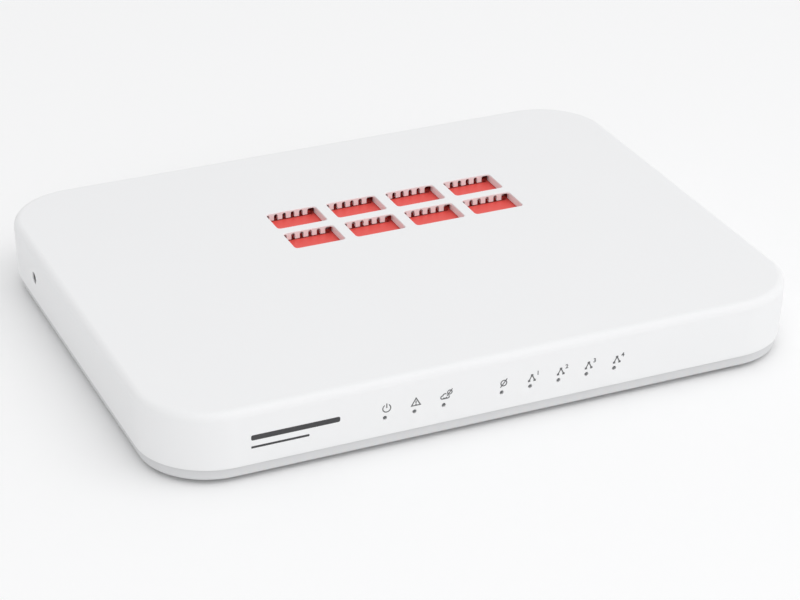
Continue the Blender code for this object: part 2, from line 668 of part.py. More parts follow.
def main():
    clear_scene()
    make_top_cover()
    make_bottom_case()
    make_vent_baffle()
    make_rear_panel()
    make_main_board()
    make_heatsink()
    make_board_parts()
    make_jack("lan_jack", LAN_CENTRES, PORT_FACE - SHIELD_THICKNESS - GAP)
    make_jack("wan_jack", [WAN_CENTRE], PORT_FACE - SHIELD_THICKNESS - GAP)
    make_jack("console_jack", [CONSOLE_CENTRE], PORT_FACE)
    make_shield("lan_jack_shield", LAN_CENTRES)
    make_shield("wan_jack_shield", [WAN_CENTRE])
    for number, x in enumerate(LAN_CENTRES, 1):
        make_contacts(f"lan_contacts_{number}", x, PORT_FACE)
    make_contacts("wan_contacts", WAN_CENTRE, PORT_FACE)
    make_contacts("console_contacts", CONSOLE_CENTRE, PORT_FACE)
    make_usb_port()
    make_power_jack()
    make_light_pipe("status_light_pipe", STATUS_INDICATORS)
    make_light_pipe("port_light_pipe", PORT_INDICATORS)
    make_reset_button()
    make_fasteners()
    make_feet_and_label()


main()
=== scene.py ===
import math

import bmesh
import bpy
from mathutils import Matrix, Vector


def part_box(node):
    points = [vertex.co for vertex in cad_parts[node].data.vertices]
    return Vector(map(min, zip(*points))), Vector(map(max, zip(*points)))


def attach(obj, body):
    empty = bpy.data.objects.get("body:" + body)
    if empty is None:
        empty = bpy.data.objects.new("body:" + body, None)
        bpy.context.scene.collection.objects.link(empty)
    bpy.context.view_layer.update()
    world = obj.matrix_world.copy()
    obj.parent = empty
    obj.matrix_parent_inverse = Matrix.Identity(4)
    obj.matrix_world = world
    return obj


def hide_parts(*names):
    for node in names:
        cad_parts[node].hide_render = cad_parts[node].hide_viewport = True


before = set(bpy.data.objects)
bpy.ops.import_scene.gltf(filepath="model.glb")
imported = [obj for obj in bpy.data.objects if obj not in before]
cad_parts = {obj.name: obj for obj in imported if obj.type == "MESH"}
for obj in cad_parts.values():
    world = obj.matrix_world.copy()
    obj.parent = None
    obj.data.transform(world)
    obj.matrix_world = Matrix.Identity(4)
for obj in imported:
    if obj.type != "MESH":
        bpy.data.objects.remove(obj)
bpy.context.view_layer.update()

mm = 0.001
near = 0.00002  # two heights closer than this are the same
spare = 1 * mm  # how far a cutting shape runs past the face that it cuts


def lengths(**sizes):
    # sizes are given in millimetres and kept in metres
    def inMetres(size):
        return tuple(inMetres(part) for part in size) if isinstance(size, tuple) else size * mm
    return {name: inMetres(size) for name, size in sizes.items()}


# Selecting, placing and shaping

def deselectAll():
    if bpy.context.object and bpy.context.object.mode != "OBJECT":
        bpy.ops.object.mode_set(mode="OBJECT")
    bpy.ops.object.select_all(action="DESELECT")


def pick(piece):
    deselectAll()
    piece.select_set(True)
    bpy.context.view_layer.objects.active = piece


def settle(piece, name):
    piece.name = name
    piece.data.name = name
    pick(piece)
    bpy.ops.object.transform_apply(location=True, rotation=True, scale=True)
    return piece


def addBlock(name, low, high):
    deselectAll()
    low, high = Vector(low), Vector(high)
    bpy.ops.mesh.primitive_cube_add(size=1, location=(low + high) / 2)
    bpy.context.object.scale = high - low
    return settle(bpy.context.object, name)


def inset(low, high, margin, bottom, top):
    return (low.x + margin, low.y + margin, bottom), (high.x - margin, high.y - margin, top)


def addRod(name, start, length, radius, axis="Z", sides=32):
    deselectAll()
    along = {"X": Vector((1, 0, 0)), "Y": Vector((0, 1, 0)), "Z": Vector((0, 0, 1))}[axis]
    turn = {"X": (0, math.pi / 2, 0), "Y": (-math.pi / 2, 0, 0), "Z": (0, 0, 0)}[axis]
    bpy.ops.mesh.primitive_cylinder_add(vertices=sides, radius=radius, depth=length,
                                        location=Vector(start) + along * length / 2, rotation=turn)
    return settle(bpy.context.object, name)


def editWhere(piece, wanted, kind="EDGE"):
    pick(piece)
    bpy.ops.object.mode_set(mode="EDIT")
    bpy.ops.mesh.select_mode(type=kind)
    bpy.ops.mesh.select_all(action="DESELECT")
    mesh = bmesh.from_edit_mesh(piece.data)
    for item in {"VERT": mesh.verts, "EDGE": mesh.edges, "FACE": mesh.faces}[kind]:
        if wanted(item):
            item.select_set(True)
    mesh.select_flush_mode()
    bmesh.update_edit_mesh(piece.data)


def leaveEdit():
    bpy.ops.object.mode_set(mode="OBJECT")


def pullOut(move):
    bpy.ops.mesh.extrude_region_move(TRANSFORM_OT_translate={"value": move})


def moveAlong(number, amount):
    move = [0.0, 0.0, 0.0]
    move[number] = amount
    return move


def growAcross(number, ratio):
    size = [ratio, ratio, ratio]
    size[number] = 1
    bpy.ops.transform.resize(value=size)


def drawOut(piece, height, moves):
    # the face at that place along Y is pulled out once for each move
    editWhere(piece, faceAt(1, height), "FACE")
    for move in moves:
        pullOut(move)
    leaveEdit()


def roundEdges(piece, wanted, radius, steps=4):
    editWhere(piece, wanted)
    bpy.ops.mesh.bevel(offset=radius, segments=steps, profile=0.5, affect="EDGES")
    leaveEdit()


def alongAxis(number):
    def wanted(edge):
        way = (edge.verts[1].co - edge.verts[0].co).normalized()
        return abs(way[number]) > 0.99
    return wanted


def loopAt(number, height):
    return lambda edge: all(abs(vert.co[number] - height) < near for vert in edge.verts)


def faceAt(number, height):
    def wanted(face):
        return abs(face.calc_center_median()[number] - height) < near and abs(face.normal[number]) > 0.9
    return wanted


upright = alongAxis(2)


def discard(*shapes):
    for shape in shapes:
        bpy.data.objects.remove(shape, do_unlink=True)


def joinUp(shapes, name):
    deselectAll()
    for shape in shapes:
        shape.select_set(True)
    bpy.context.view_layer.objects.active = shapes[0]
    if len(shapes) > 1:
        bpy.ops.object.join()
    return settle(shapes[0], name)


def copyOf(piece, shift, name):
    twin = piece.copy()
    twin.data = piece.data.copy()
    bpy.context.scene.collection.objects.link(twin)
    twin.location = Vector(shift)
    return settle(twin, name)


def repeatAt(shape, places):
    copies = [copyOf(shape, (x, y, 0), shape.name) for x, y in places]
    discard(shape)
    return copies


def useModifier(piece, kind, **settings):
    change = piece.modifiers.new("change", kind)
    for label, value in settings.items():
        setattr(change, label, value)
    pick(piece)
    bpy.ops.object.modifier_apply(modifier="change")


def useTool(piece, shapes, operation="DIFFERENCE"):
    tool = joinUp(shapes, piece.name + "Tool")
    useModifier(piece, "BOOLEAN", operation=operation, solver="EXACT", object=tool)
    discard(tool)


def softenEdges(piece, width, steps=2, limit=40):
    useModifier(piece, "BEVEL", width=width, segments=steps, limit_method="ANGLE",
                angle_limit=math.radians(limit))


def stackEnds(piece, number, height, steps):
    # the end face moves on along its axis, and grows or shrinks to each next radius
    editWhere(piece, faceAt(number, height), "FACE")
    for move, ratio in steps:
        pullOut(moveAlong(number, move))
        growAcross(number, ratio)
    leaveEdit()


def turnedPiece(name, centre, axis, profile, sides=32):
    # profile is (radius, place along the axis), from one end to the other
    number = "XYZ".index(axis)
    (firstRadius, firstPlace), (nextRadius, nextPlace) = profile[:2]
    start = list(centre)
    start[number] = min(firstPlace, nextPlace)
    piece = addRod(name, start, abs(nextPlace - firstPlace), firstRadius, axis, sides)
    editWhere(piece, faceAt(number, nextPlace), "FACE")
    growAcross(number, nextRadius / firstRadius)
    leaveEdit()
    steps = [(after[1] - before[1], after[0] / before[0]) for before, after in zip(profile[1:], profile[2:])]
    if steps:
        stackEnds(piece, number, nextPlace, steps)
    pick(piece)
    bpy.ops.object.mode_set(mode="EDIT")
    bpy.ops.mesh.select_all(action="SELECT")
    bpy.ops.mesh.normals_make_consistent(inside=False)
    leaveEdit()
    return piece


def roundedBlock(name, low, high, corner, steps, sink=0.0, edge=0.0, edgeSteps=4):
    # a block with round upright corners; its lower outline is pulled in by sink, its top edge is rounded
    block = addBlock(name, low, (high[0], high[1], high[2] - edge))
    roundEdges(block, upright, corner, steps)
    if sink:
        width, depth = high[0] - low[0], high[1] - low[1]
        editWhere(block, lambda vert: vert.co.z < low[2] + near, "VERT")
        bpy.ops.transform.resize(value=(1 - 2 * sink / width, 1 - 2 * sink / depth, 1))
        leaveEdit()
    if edge:
        stackEnds(block, 2, high[2] - edge, [(edge, 1.0)])
        roundEdges(block, loopAt(2, high[2]), edge * 0.998, edgeSteps)
    return block


def flaredTool(name, low, high, corner, rim, number=2, way=1, rimSteps=4):
    # a hole's shape with round corners along one axis; its mouth is rounded outwards by rim
    low, high = Vector(low), Vector(high)
    start, stop = low.copy(), high.copy()
    if way > 0:
        stop[number] -= rim
    else:
        start[number] += rim
    tool = addBlock(name, start, stop)
    roundEdges(tool, alongAxis(number), corner, 6)
    editWhere(tool, faceAt(number, stop[number] if way > 0 else start[number]), "FACE")
    half = (high - low) / 2
    out = rise = 0.0
    for step in range(1, rimSteps + 1):
        turn = math.pi / 2 * step / rimSteps
        nextOut, nextRise = rim * (1 - math.cos(turn)), rim * math.sin(turn)
        size = [(half[k] + nextOut) / (half[k] + out) for k in range(3)]
        size[number] = 1
        pullOut(moveAlong(number, way * (nextRise - rise)))
        bpy.ops.transform.resize(value=size)
        out, rise = nextOut, nextRise
    pullOut(moveAlong(number, way * rim))
    leaveEdit()
    return tool


def finishPiece(piece, finish, slotName, *stands, body="root"):
    piece.data.materials.clear()
    piece.data.materials.append(finishes[finish])
    pick(piece)
    bpy.ops.object.shade_smooth_by_angle(angle=math.radians(32))
    useModifier(piece, "WEIGHTED_NORMAL", keep_sharp=True)  # keeps large flat faces flat
    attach(piece, body)
    if stands:
        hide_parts(*stands)


# Finishes

def newGroup(name, inputs):
    kinds = {1: "NodeSocketFloat", 3: "NodeSocketVector", 4: "NodeSocketColor"}
    group = bpy.data.node_groups.new(name, "ShaderNodeTree")
    for label, value in inputs.items():
        kind = kinds[len(value) if isinstance(value, tuple) else 1]
        group.interface.new_socket(name=label, in_out="INPUT", socket_type=kind).default_value = value
    for label, size in (("Colour", 4), ("Roughness", 1), ("Normal", 3)):
        group.interface.new_socket(name=label, in_out="OUTPUT", socket_type=kinds[size])
    return group, group.nodes.new("NodeGroupInput").outputs, group.nodes.new("NodeGroupOutput").inputs


def addNode(tree, kind, values=None, links=None, **settings):
    node = tree.nodes.new(kind)
    for label, value in settings.items():
        setattr(node, label, value)
    for label, value in (values or {}).items():
        node.inputs[label].default_value = value
    for label, source in (links or {}).items():
        tree.links.new(source, node.inputs[label])
    return node


def closeGroup(group, start, end, shade, pattern):
    # shade varies the colour's brightness, and pattern varies the gloss and the height
    tint = addNode(group, "ShaderNodeHueSaturation", None, {"Value": shade, "Color": start["Base"]})
    rough = addNode(group, "ShaderNodeMath", None, {0: pattern, 1: start["Spread"], 2: start["Gloss"]},
                    operation="MULTIPLY_ADD")
    bump = addNode(group, "ShaderNodeBump", {"Strength": 1.0},
                   {"Height": pattern, "Distance": start["Depth"]})
    group.links.new(tint.outputs["Color"], end["Colour"])
    group.links.new(rough.outputs[0], end["Roughness"])
    group.links.new(bump.outputs["Normal"], end["Normal"])
    return group


def makeGrainGroup():
    group, start, end = newGroup("mouldedGrain", {
        "Base": (1, 1, 1, 1), "Mottle": 0.03, "Gloss": 0.4, "Spread": 0.1, "Grain": 3000.0, "Depth": 0.00001})
    place = addNode(group, "ShaderNodeTexCoord").outputs["Object"]
    broad = addNode(group, "ShaderNodeTexNoise", {"Scale": 28.0, "Detail": 2.0}, {"Vector": place})
    fine = addNode(group, "ShaderNodeTexNoise", {"Detail": 2.5, "Roughness": 0.6},
                   {"Vector": place, "Scale": start["Grain"]})
    centred = addNode(group, "ShaderNodeMath", {1: 0.5}, {0: broad.outputs["Fac"]}, operation="SUBTRACT")
    swing = addNode(group, "ShaderNodeMath", {2: 1.0}, {0: centred.outputs[0], 1: start["Mottle"]},
                    operation="MULTIPLY_ADD")
    return closeGroup(group, start, end, swing.outputs[0], fine.outputs["Fac"])


def makeBrushGroup():
    group, start, end = newGroup("brushedMetal", {
        "Base": (1, 1, 1, 1), "Streak": (60, 4000, 4000), "Gloss": 0.3, "Spread": 0.15, "Depth": 0.000004})
    place = addNode(group, "ShaderNodeTexCoord").outputs["Object"]
    stretched = addNode(group, "ShaderNodeVectorMath", None, {0: place, 1: start["Streak"]},
                        operation="MULTIPLY")
    streaks = addNode(group, "ShaderNodeTexNoise", {"Scale": 1.0, "Detail": 3.0},
                      {"Vector": stretched.outputs["Vector"]})
    shade = addNode(group, "ShaderNodeMapRange", {"To Min": 0.86, "To Max": 1.08},
                    {"Value": streaks.outputs["Fac"]})
    return closeGroup(group, start, end, shade.outputs["Result"], streaks.outputs["Fac"])


grainGroup = makeGrainGroup()
brushGroup = makeBrushGroup()


def newMaterial(name):
    finish = bpy.data.materials.new(name)
    finish.use_nodes = True
    return finish, finish.node_tree, finish.node_tree.nodes["Principled BSDF"].inputs


def groupFinish(name, group, values, extra):
    finish, tree, shader = newMaterial(name)
    for label, value in extra.items():
        shader[label].default_value = value
    pattern = addNode(tree, "ShaderNodeGroup", None, None, node_tree=group)
    for label, value in values.items():
        pattern.inputs[label].default_value = value
    for label, target in (("Colour", "Base Color"), ("Roughness", "Roughness"), ("Normal", "Normal")):
        tree.links.new(pattern.outputs[label], shader[target])
    return finish


def grainFinish(name, base, gloss, mottle, spread, grain, depth, **extra):
    values = {"Base": (*base, 1), "Gloss": gloss, "Mottle": mottle, "Spread": spread, "Grain": grain,
              "Depth": depth}
    return groupFinish(name, grainGroup, values, {"Metallic": 0.0, **extra})


def metalFinish(name, base, gloss, streak=(60, 4000, 4000)):
    values = {"Base": (*base, 1), "Gloss": gloss, "Streak": streak, "Spread": 0.15, "Depth": 0.000004}
    return groupFinish(name, brushGroup, values, {"Metallic": 1.0})


boardPlan = {
    "mask": (0.008, 0.09, 0.035, 1), "track": (0.02, 0.19, 0.07, 1), "plating": (0.75, 0.72, 0.62, 1),
    "areas": 60.0, "vias": 330.0, "viaSize": 0.11, "roughness": 0.33, "trackHeight": 0.00004,
}


def boardFinish():
    # a green solder mask with diagonal tracks in patches, and plated vias
    plan = boardPlan
    finish, tree, shader = newMaterial("solderMask")
    place = addNode(tree, "ShaderNodeTexCoord").outputs["Object"]
    tracks = addNode(tree, "ShaderNodeTexWave",
                     {"Scale": 210.0, "Distortion": 5.0, "Detail": 1.0, "Detail Scale": 0.4},
                     {"Vector": place}, bands_direction="DIAGONAL")
    areas = addNode(tree, "ShaderNodeTexVoronoi", {"Scale": plan["areas"]}, {"Vector": place},
                    distance="CHEBYCHEV")
    vias = addNode(tree, "ShaderNodeTexVoronoi", {"Scale": plan["vias"]}, {"Vector": place})
    onTrack = addNode(tree, "ShaderNodeMapRange", {"From Min": 0.6, "From Max": 0.66},
                      {"Value": tracks.outputs["Fac"]})
    inArea = addNode(tree, "ShaderNodeMapRange", {"From Min": 0.34, "From Max": 0.36},
                     {"Value": areas.outputs["Distance"]})
    track = addNode(tree, "ShaderNodeMath", None, {0: onTrack.outputs["Result"], 1: inArea.outputs["Result"]},
                    operation="MULTIPLY").outputs[0]
    mask = addNode(tree, "ShaderNodeMix", {"A": plan["mask"], "B": plan["track"]}, None, data_type="RGBA")
    tree.links.new(track, mask.inputs["Factor"])
    via = addNode(tree, "ShaderNodeMath", {1: plan["viaSize"]}, {0: vias.outputs["Distance"]},
                  operation="LESS_THAN").outputs[0]
    plated = addNode(tree, "ShaderNodeMix", {"B": plan["plating"]}, None, data_type="RGBA")
    tree.links.new(via, plated.inputs["Factor"])
    tree.links.new(mask.outputs["Result"], plated.inputs["A"])
    tree.links.new(plated.outputs["Result"], shader["Base Color"])
    tree.links.new(via, shader["Metallic"])
    bump = addNode(tree, "ShaderNodeBump", {"Strength": 1.0, "Distance": plan["trackHeight"]},
                   {"Height": track})
    tree.links.new(bump.outputs["Normal"], shader["Normal"])
    shader["Roughness"].default_value = plan["roughness"]
    return finish


grainLooks = {  # material name, colour, gloss, mottle, spread of the gloss, grain scale and depth
    "case": ("whiteCasePlastic", (0.888, 0.89, 0.894), 0.44, 0.012, 0.10, 4200.0, 0.000012),
    # base: the plinth's grey is partly its own plastic colour and partly painted shade, darkened to stand in
    # for the shade under the cover's overhang
    "base": ("plinthGreyWithPaintedShade", (0.70, 0.703, 0.71), 0.46, 0.02, 0.10, 3600.0, 0.000016),
    "red": ("redBafflePlastic", (0.86, 0.10, 0.085), 0.42, 0.05, 0.10, 3200.0, 0.000014),
    "black": ("blackSocketPlastic", (0.016, 0.016, 0.018), 0.36, 0.1, 0.12, 3000.0, 0.000012),
    "button": ("blackButtonPlastic", (0.03, 0.03, 0.032), 0.4, 0.1, 0.1, 3000.0, 0.00001),
    "nylon": ("whiteNylon", (0.74, 0.73, 0.69), 0.42, 0.04, 0.1, 2500.0, 0.00001),
    "rubber": ("footRubber", (0.035, 0.035, 0.036), 0.7, 0.15, 0.15, 2200.0, 0.00003),
    "epoxy": ("chipEpoxy", (0.022, 0.022, 0.024), 0.5, 0.15, 0.15, 5000.0, 0.000015),
    "ferrite": ("ferrite", (0.09, 0.09, 0.095), 0.6, 0.1, 0.15, 2500.0, 0.00003),
    "pad": ("thermalPad", (0.32, 0.40, 0.47), 0.75, 0.08, 0.1, 1800.0, 0.00003),
    "ink": ("greyPrint", (0.125, 0.127, 0.13), 0.5, 0.06, 0.1, 5000.0, 0.000005),
    "darkInk": ("darkPrint", (0.045, 0.045, 0.048), 0.5, 0.06, 0.1, 5000.0, 0.000005),
    "film": ("labelFilm", (0.62, 0.63, 0.64), 0.32, 0.02, 0.08, 2600.0, 0.000006),
    "filmPrint": ("labelPrint", (0.30, 0.31, 0.32), 0.45, 0.04, 0.08, 2600.0, 0.000004),
    "lamp": ("lampBody", (0.78, 0.75, 0.55), 0.3, 0.05, 0.1, 4000.0, 0.000008),
}
finishes = {key: grainFinish(*look) for key, look in grainLooks.items()}
finishes["clear"] = grainFinish("clearRod", (0.50, 0.52, 0.54), 0.08, 0.02, 0.05, 2000.0, 0.000004,
                                **{"Transmission Weight": 0.7, "IOR": 1.49})
finishes["steel"] = metalFinish("platedSteel", (0.55, 0.55, 0.56), 0.26)
finishes["screw"] = metalFinish("zincScrew", (0.60, 0.60, 0.62), 0.25, (2500, 2500, 300))
finishes["aluminium"] = metalFinish("finAluminium", (0.78, 0.79, 0.80), 0.28, (4000, 60, 4000))
finishes["gold"] = metalFinish("goldWire", (0.90, 0.66, 0.27), 0.16, (3000, 60, 3000))
finishes["board"] = boardFinish()
print("finishes made")


# Places taken from the frame

def middleOf(node):
    low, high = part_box(node)
    return (low + high) / 2


coverLow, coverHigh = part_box("top_cover")
baffleLow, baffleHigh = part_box("vent_baffle")
ventMiddle = middleOf("vent_baffle")
sideNames = ("front_left", "front_right", "rear_left", "rear_right")
lanNames = ["lan_contacts_" + str(number) for number in range(1, 5)]


def cornerSpots(kind):
    return [middleOf(kind + name) for name in sideNames]


lanCentres = [middleOf(name).x for name in lanNames]
wanCentre = middleOf("wan_contacts").x
consoleCentre = middleOf("console_contacts").x


# Top cover: a shell with windows over the baffle, skirts with combed rear walls, and holes in its sides

coverPlan = lengths(
    corner=22.7, edge=2.5, draft=0.5, wall=2.0, lowerEdge=0.25, skin=0.9, window=(17.0, 11.3),
    pitch=(20.8, 15.1), windowCorner=1.2, windowRim=0.35, skirt=1.1, gap=1.3, tooth=1.6, lastGap=2.5,
    archRadius=0.6, combRise=0.3, lightHole=0.66, resetHole=1.9, resetRim=0.15, bossRadius=3.6, bossLow=7.4,
    bossShort=6.6, screwHole=1.7, screwHoleLow=6, screwHoleDepth=10.5, openingHalf=78.9, openingDrop=2.6,
    openingCorner=1.0, openingDepth=4.7, openingOut=1.3, baffleGap=0.3, pocket=1.2, bite=0.4, stake=1.0,
    stakeHead=((1.2, 0.7), (1.6, 0.4), (1.6, 0.0)),
) | {"cornerSteps": 30, "edgeSteps": 8, "columns": 4, "rows": 2}


def windowPlaces():
    plan = coverPlan
    return [(ventMiddle.x + (column - (plan["columns"] - 1) / 2) * plan["pitch"][0],
             ventMiddle.y + (row - (plan["rows"] - 1) / 2) * plan["pitch"][1])
            for row in range(plan["rows"]) for column in range(plan["columns"])]


def combTool(floor, ceiling):
    # the air gaps behind one window, arched at the top
    plan = coverPlan
    width, depth = plan["window"]
    gaps = []
    x = -width / 2
    while x + plan["gap"] + plan["tooth"] + plan["lastGap"] < width / 2 + near:
        gaps.append((x, x + plan["gap"]))
        x += plan["gap"] + plan["tooth"]
    gaps.append((width / 2 - plan["lastGap"], width / 2))
    blocks = []
    for start, end in gaps:
        block = addBlock("gapTool", (start, depth / 2 - 2 * plan["windowCorner"], floor),
                         (end, depth / 2 + 2 * plan["skirt"], ceiling))
        top = lambda edge: loopAt(2, ceiling)(edge) and alongAxis(1)(edge)
        roundEdges(block, top, plan["archRadius"], 4)
        blocks.append(block)
    return joinUp(blocks, "combTool")


def makeShell():
    plan = coverPlan
    low, high = coverLow, coverHigh
    cover = roundedBlock("coverShell", low, high, plan["corner"], plan["cornerSteps"],
                         plan["draft"], plan["edge"], plan["edgeSteps"])
    editWhere(cover, faceAt(2, low.z), "FACE")
    bpy.ops.mesh.delete(type="FACE")
    leaveEdit()
    useModifier(cover, "SOLIDIFY", thickness=plan["wall"], offset=-1, use_even_offset=True)
    # the wall's middle line at its foot tells the outer rim from the inner one
    line = plan["draft"] + plan["wall"] / 2
    rounder = plan["corner"] - line
    middle = Vector((-(low.x + line) - rounder, high.y - line - rounder))

    def outerRim(edge):
        if not all(abs(vert.co.z - low.z) < 0.2 * mm for vert in edge.verts):
            return False
        spot = (edge.verts[0].co + edge.verts[1].co) / 2
        away = Vector((max(abs(spot.x) - middle.x, 0), max(abs(spot.y) - middle.y, 0))).length
        way = edge.verts[1].co - edge.verts[0].co
        across = abs(way.normalized().dot(Vector((spot.x, spot.y, 0)).normalized())) > 0.999
        return away > rounder and not across
    roundEdges(cover, outerRim, plan["lowerEdge"], 3)
    print("cover: shell")
    return cover


def addSkirts(cover, skinUnder, roofUnder):
    plan = coverPlan
    pocket = inset(baffleLow, baffleHigh, -plan["pocket"], roofUnder - spare, skinUnder)
    useTool(cover, [addBlock("pocket", *pocket)])
    half = Vector((plan["window"][0] / 2 + plan["skirt"], plan["window"][1] / 2 + plan["skirt"]))
    skirt = addBlock("skirt", (-half.x, -half.y, baffleHigh.z + plan["baffleGap"]),
                     (half.x, half.y, skinUnder + plan["bite"]))
    roundEdges(skirt, upright, plan["windowCorner"] + plan["skirt"], 5)
    added = repeatAt(skirt, windowPlaces())
    added += [addRod("boss", (spot.x, spot.y, plan["bossLow"]), roofUnder - plan["bossShort"],
                     plan["bossRadius"], "Z", 40) for spot in cornerSpots("case_screw_")]
    head = baffleLow.z - plan["baffleGap"]
    stake = [(radius, head - drop) for radius, drop in plan["stakeHead"]]
    stake += [(plan["stake"], head), (plan["stake"], skinUnder + plan["bite"])]
    added += [turnedPiece("stake", (x, y, 0), "Z", stake, 24) for x, y in stakePlaces()]
    useTool(cover, added, "UNION")


def makeCover():
    plan = coverPlan
    low, high = coverLow, coverHigh
    skinUnder = high.z - plan["skin"]
    cover = makeShell()
    addSkirts(cover, skinUnder, high.z - plan["wall"])

    halfX, halfY = plan["window"][0] / 2, plan["window"][1] / 2
    window = flaredTool("windowTool", (-halfX, -halfY, baffleHigh.z), (halfX, halfY, high.z),
                        plan["windowCorner"], plan["windowRim"])
    useTool(cover, repeatAt(window, windowPlaces()))
    useTool(cover, repeatAt(combTool(baffleHigh.z, skinUnder + plan["combRise"]), windowPlaces()))
    print("cover: windows and combs")

    holes = [addRod("screwHole", (spot.x, spot.y, plan["screwHoleLow"]), plan["screwHoleDepth"],
                    plan["screwHole"], "Z", 24) for spot in cornerSpots("case_screw_")]
    holes += [addRod("lightHole", (x, low.y - spare, z), 5 * spare, plan["lightHole"], "Y", 28)
              for x, z in lightPlaces()]
    rim = plan["resetRim"]
    face = low.x + plan["draft"] * 0.5
    holes.append(turnedPiece("resetHole", middleOf("reset_button"), "X", [
        (plan["resetHole"] + rim + spare, face - spare), (plan["resetHole"], face + rim),
        (plan["resetHole"], face + 4 * spare)], 40))
    opening = addBlock("rearOpening", (-plan["openingHalf"], high.y - plan["openingDepth"], low.z - spare),
                       (plan["openingHalf"], high.y + plan["openingOut"], high.z - plan["openingDrop"]))
    top = lambda edge: alongAxis(1)(edge) and edge.verts[0].co.z > high.z - 2 * plan["edge"]
    roundEdges(opening, top, plan["openingCorner"], 5)
    useTool(cover, holes + [opening])
    finishPiece(cover, "case", "cover_white", "top_cover")
    print("cover: done,", len(cover.data.polygons), "faces")


# Bottom case: a plinth that narrows under the cover, with a lip inside the cover's wall

basePlan = lengths(
    inset=1.5, edge=0.8, seam=0.3, shelfEdge=0.2, lipInset=2.9, lipWall=1.2, lipEdge=0.3, floor=1.4,
    standoff=3.0, standoffTop=4.9, post=4.4, postDrop=0.9, hole=1.7, holeDepth=3, counterbore=3.3,
    counterDepth=2.0, counterRim=0.3, seat=0.6, footGap=0.4, labelMargin=0.5, labelCorner=1.6, slotWidth=4.6,
    slotFirst=20, slotPitch=14, slotEnds=(-20, 14), slotRim=0.35, panelGap=0.3, panelDepth=6,
) | {"edgeSteps": 5, "cornerSteps": 30, "slots": 3}


def insetBlock(name, margin, floor, top):
    corners = inset(coverLow, coverHigh, margin, floor, top)
    return roundedBlock(name, *corners, coverPlan["corner"] - margin, basePlan["cornerSteps"])


def baseCuts(low, high, shelf, root):
    plan = basePlan
    cuts = []
    for name in sideNames:
        spot = middleOf("board_screw_" + name)
        cuts.append(addRod("boardHole", (spot.x, spot.y, root), plan["holeDepth"], plan["hole"], "Z", 24))
        footLow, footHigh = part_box("foot_" + name)
        spot = (footLow + footHigh) / 2
        radius = (footHigh.x - footLow.x) / 2 + plan["footGap"]
        cuts.append(addRod("footSeat", (spot.x, spot.y, 0), low.z + plan["seat"], radius, "Z", 56))
    labelLow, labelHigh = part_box("rating_label")
    margin = plan["labelMargin"]
    seat = addBlock("labelSeat", *inset(labelLow, labelHigh, -margin, 0, low.z + plan["seat"]))
    roundEdges(seat, upright, plan["labelCorner"] + margin, 6)
    cuts.append(seat)
    panelLow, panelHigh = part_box("rear_panel")
    gap = plan["panelGap"]
    cuts.append(addBlock("panelSeat", (panelLow.x - gap, coverHigh.y - plan["panelDepth"], shelf),
                         (panelHigh.x + gap, coverHigh.y, high.z + spare)))
    half = plan["slotWidth"] / 2
    for side in (-1, 1):
        for number in range(plan["slots"]):
            x = side * (plan["slotFirst"] + number * plan["slotPitch"])
            cuts.append(flaredTool("airSlot", (x - half, plan["slotEnds"][0], low.z),
                                   (x + half, plan["slotEnds"][1], low.z + plan["floor"] + spare),
                                   half * 0.98, plan["slotRim"], 2, -1))
    return cuts


def makeBase():
    plan = basePlan
    low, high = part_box("bottom_case")
    shelf = coverLow.z - plan["seam"]
    floorTop = low.z + plan["floor"]
    base = insetBlock("baseShell", plan["inset"], low.z, shelf)
    roundEdges(base, loopAt(2, low.z), plan["edge"], plan["edgeSteps"])
    roundEdges(base, loopAt(2, shelf), plan["shelfEdge"], 3)
    lip = insetBlock("lip", plan["lipInset"], shelf - spare, high.z)
    roundEdges(lip, loopAt(2, high.z), plan["lipEdge"], 3)
    useTool(base, [lip], "UNION")
    useTool(base, [insetBlock("room", plan["lipInset"] + plan["lipWall"], floorTop, high.z + spare)])

    root = floorTop - plan["floor"] / 2
    posts = []
    for name in sideNames:
        for node, shape, top, sides in (("board_screw_", "standoff", plan["standoffTop"], 32),
                                        ("case_screw_", "post", high.z - plan["postDrop"], 40)):
            spot = middleOf(node + name)
            posts.append(addRod(shape, (spot.x, spot.y, root), top - root, plan[shape], "Z", sides))
    useTool(base, posts, "UNION")
    useTool(base, baseCuts(low, high, shelf, root))

    rim = plan["counterRim"]
    bore = [(plan["counterbore"] + rim + spare, low.z - spare), (plan["counterbore"], low.z + rim),
            (plan["counterbore"], low.z + plan["counterDepth"])]
    spots = cornerSpots("case_screw_")
    useTool(base, [turnedPiece("counterbore", spot, "Z", bore, 40) for spot in spots])
    useTool(base, [addRod("clearance", (spot.x, spot.y, low.z + spare), high.z, plan["hole"], "Z", 24)
                   for spot in spots])
    # the plinth's grey finish holds painted shade for the shade under the cover's overhang, besides its own
    # colour
    finishPiece(base, "base", "base_grey", "bottom_case")
    print("bottom case: done,", len(base.data.polygons), "faces")


# Red baffle plate under the windows, with an air slot behind each comb

bafflePlan = lengths(corner=1.5, edge=0.25, slotGap=0.3, slotDepth=2.3, slotInset=0.4, slotCorner=0.7,
                     slotRim=0.2, stakeInset=1.8, stakeHole=1.3)


def stakePlaces():
    inset = bafflePlan["stakeInset"]
    return [(x, y) for x in (baffleLow.x + inset, baffleHigh.x - inset)
            for y in (baffleLow.y + inset, baffleHigh.y - inset)]


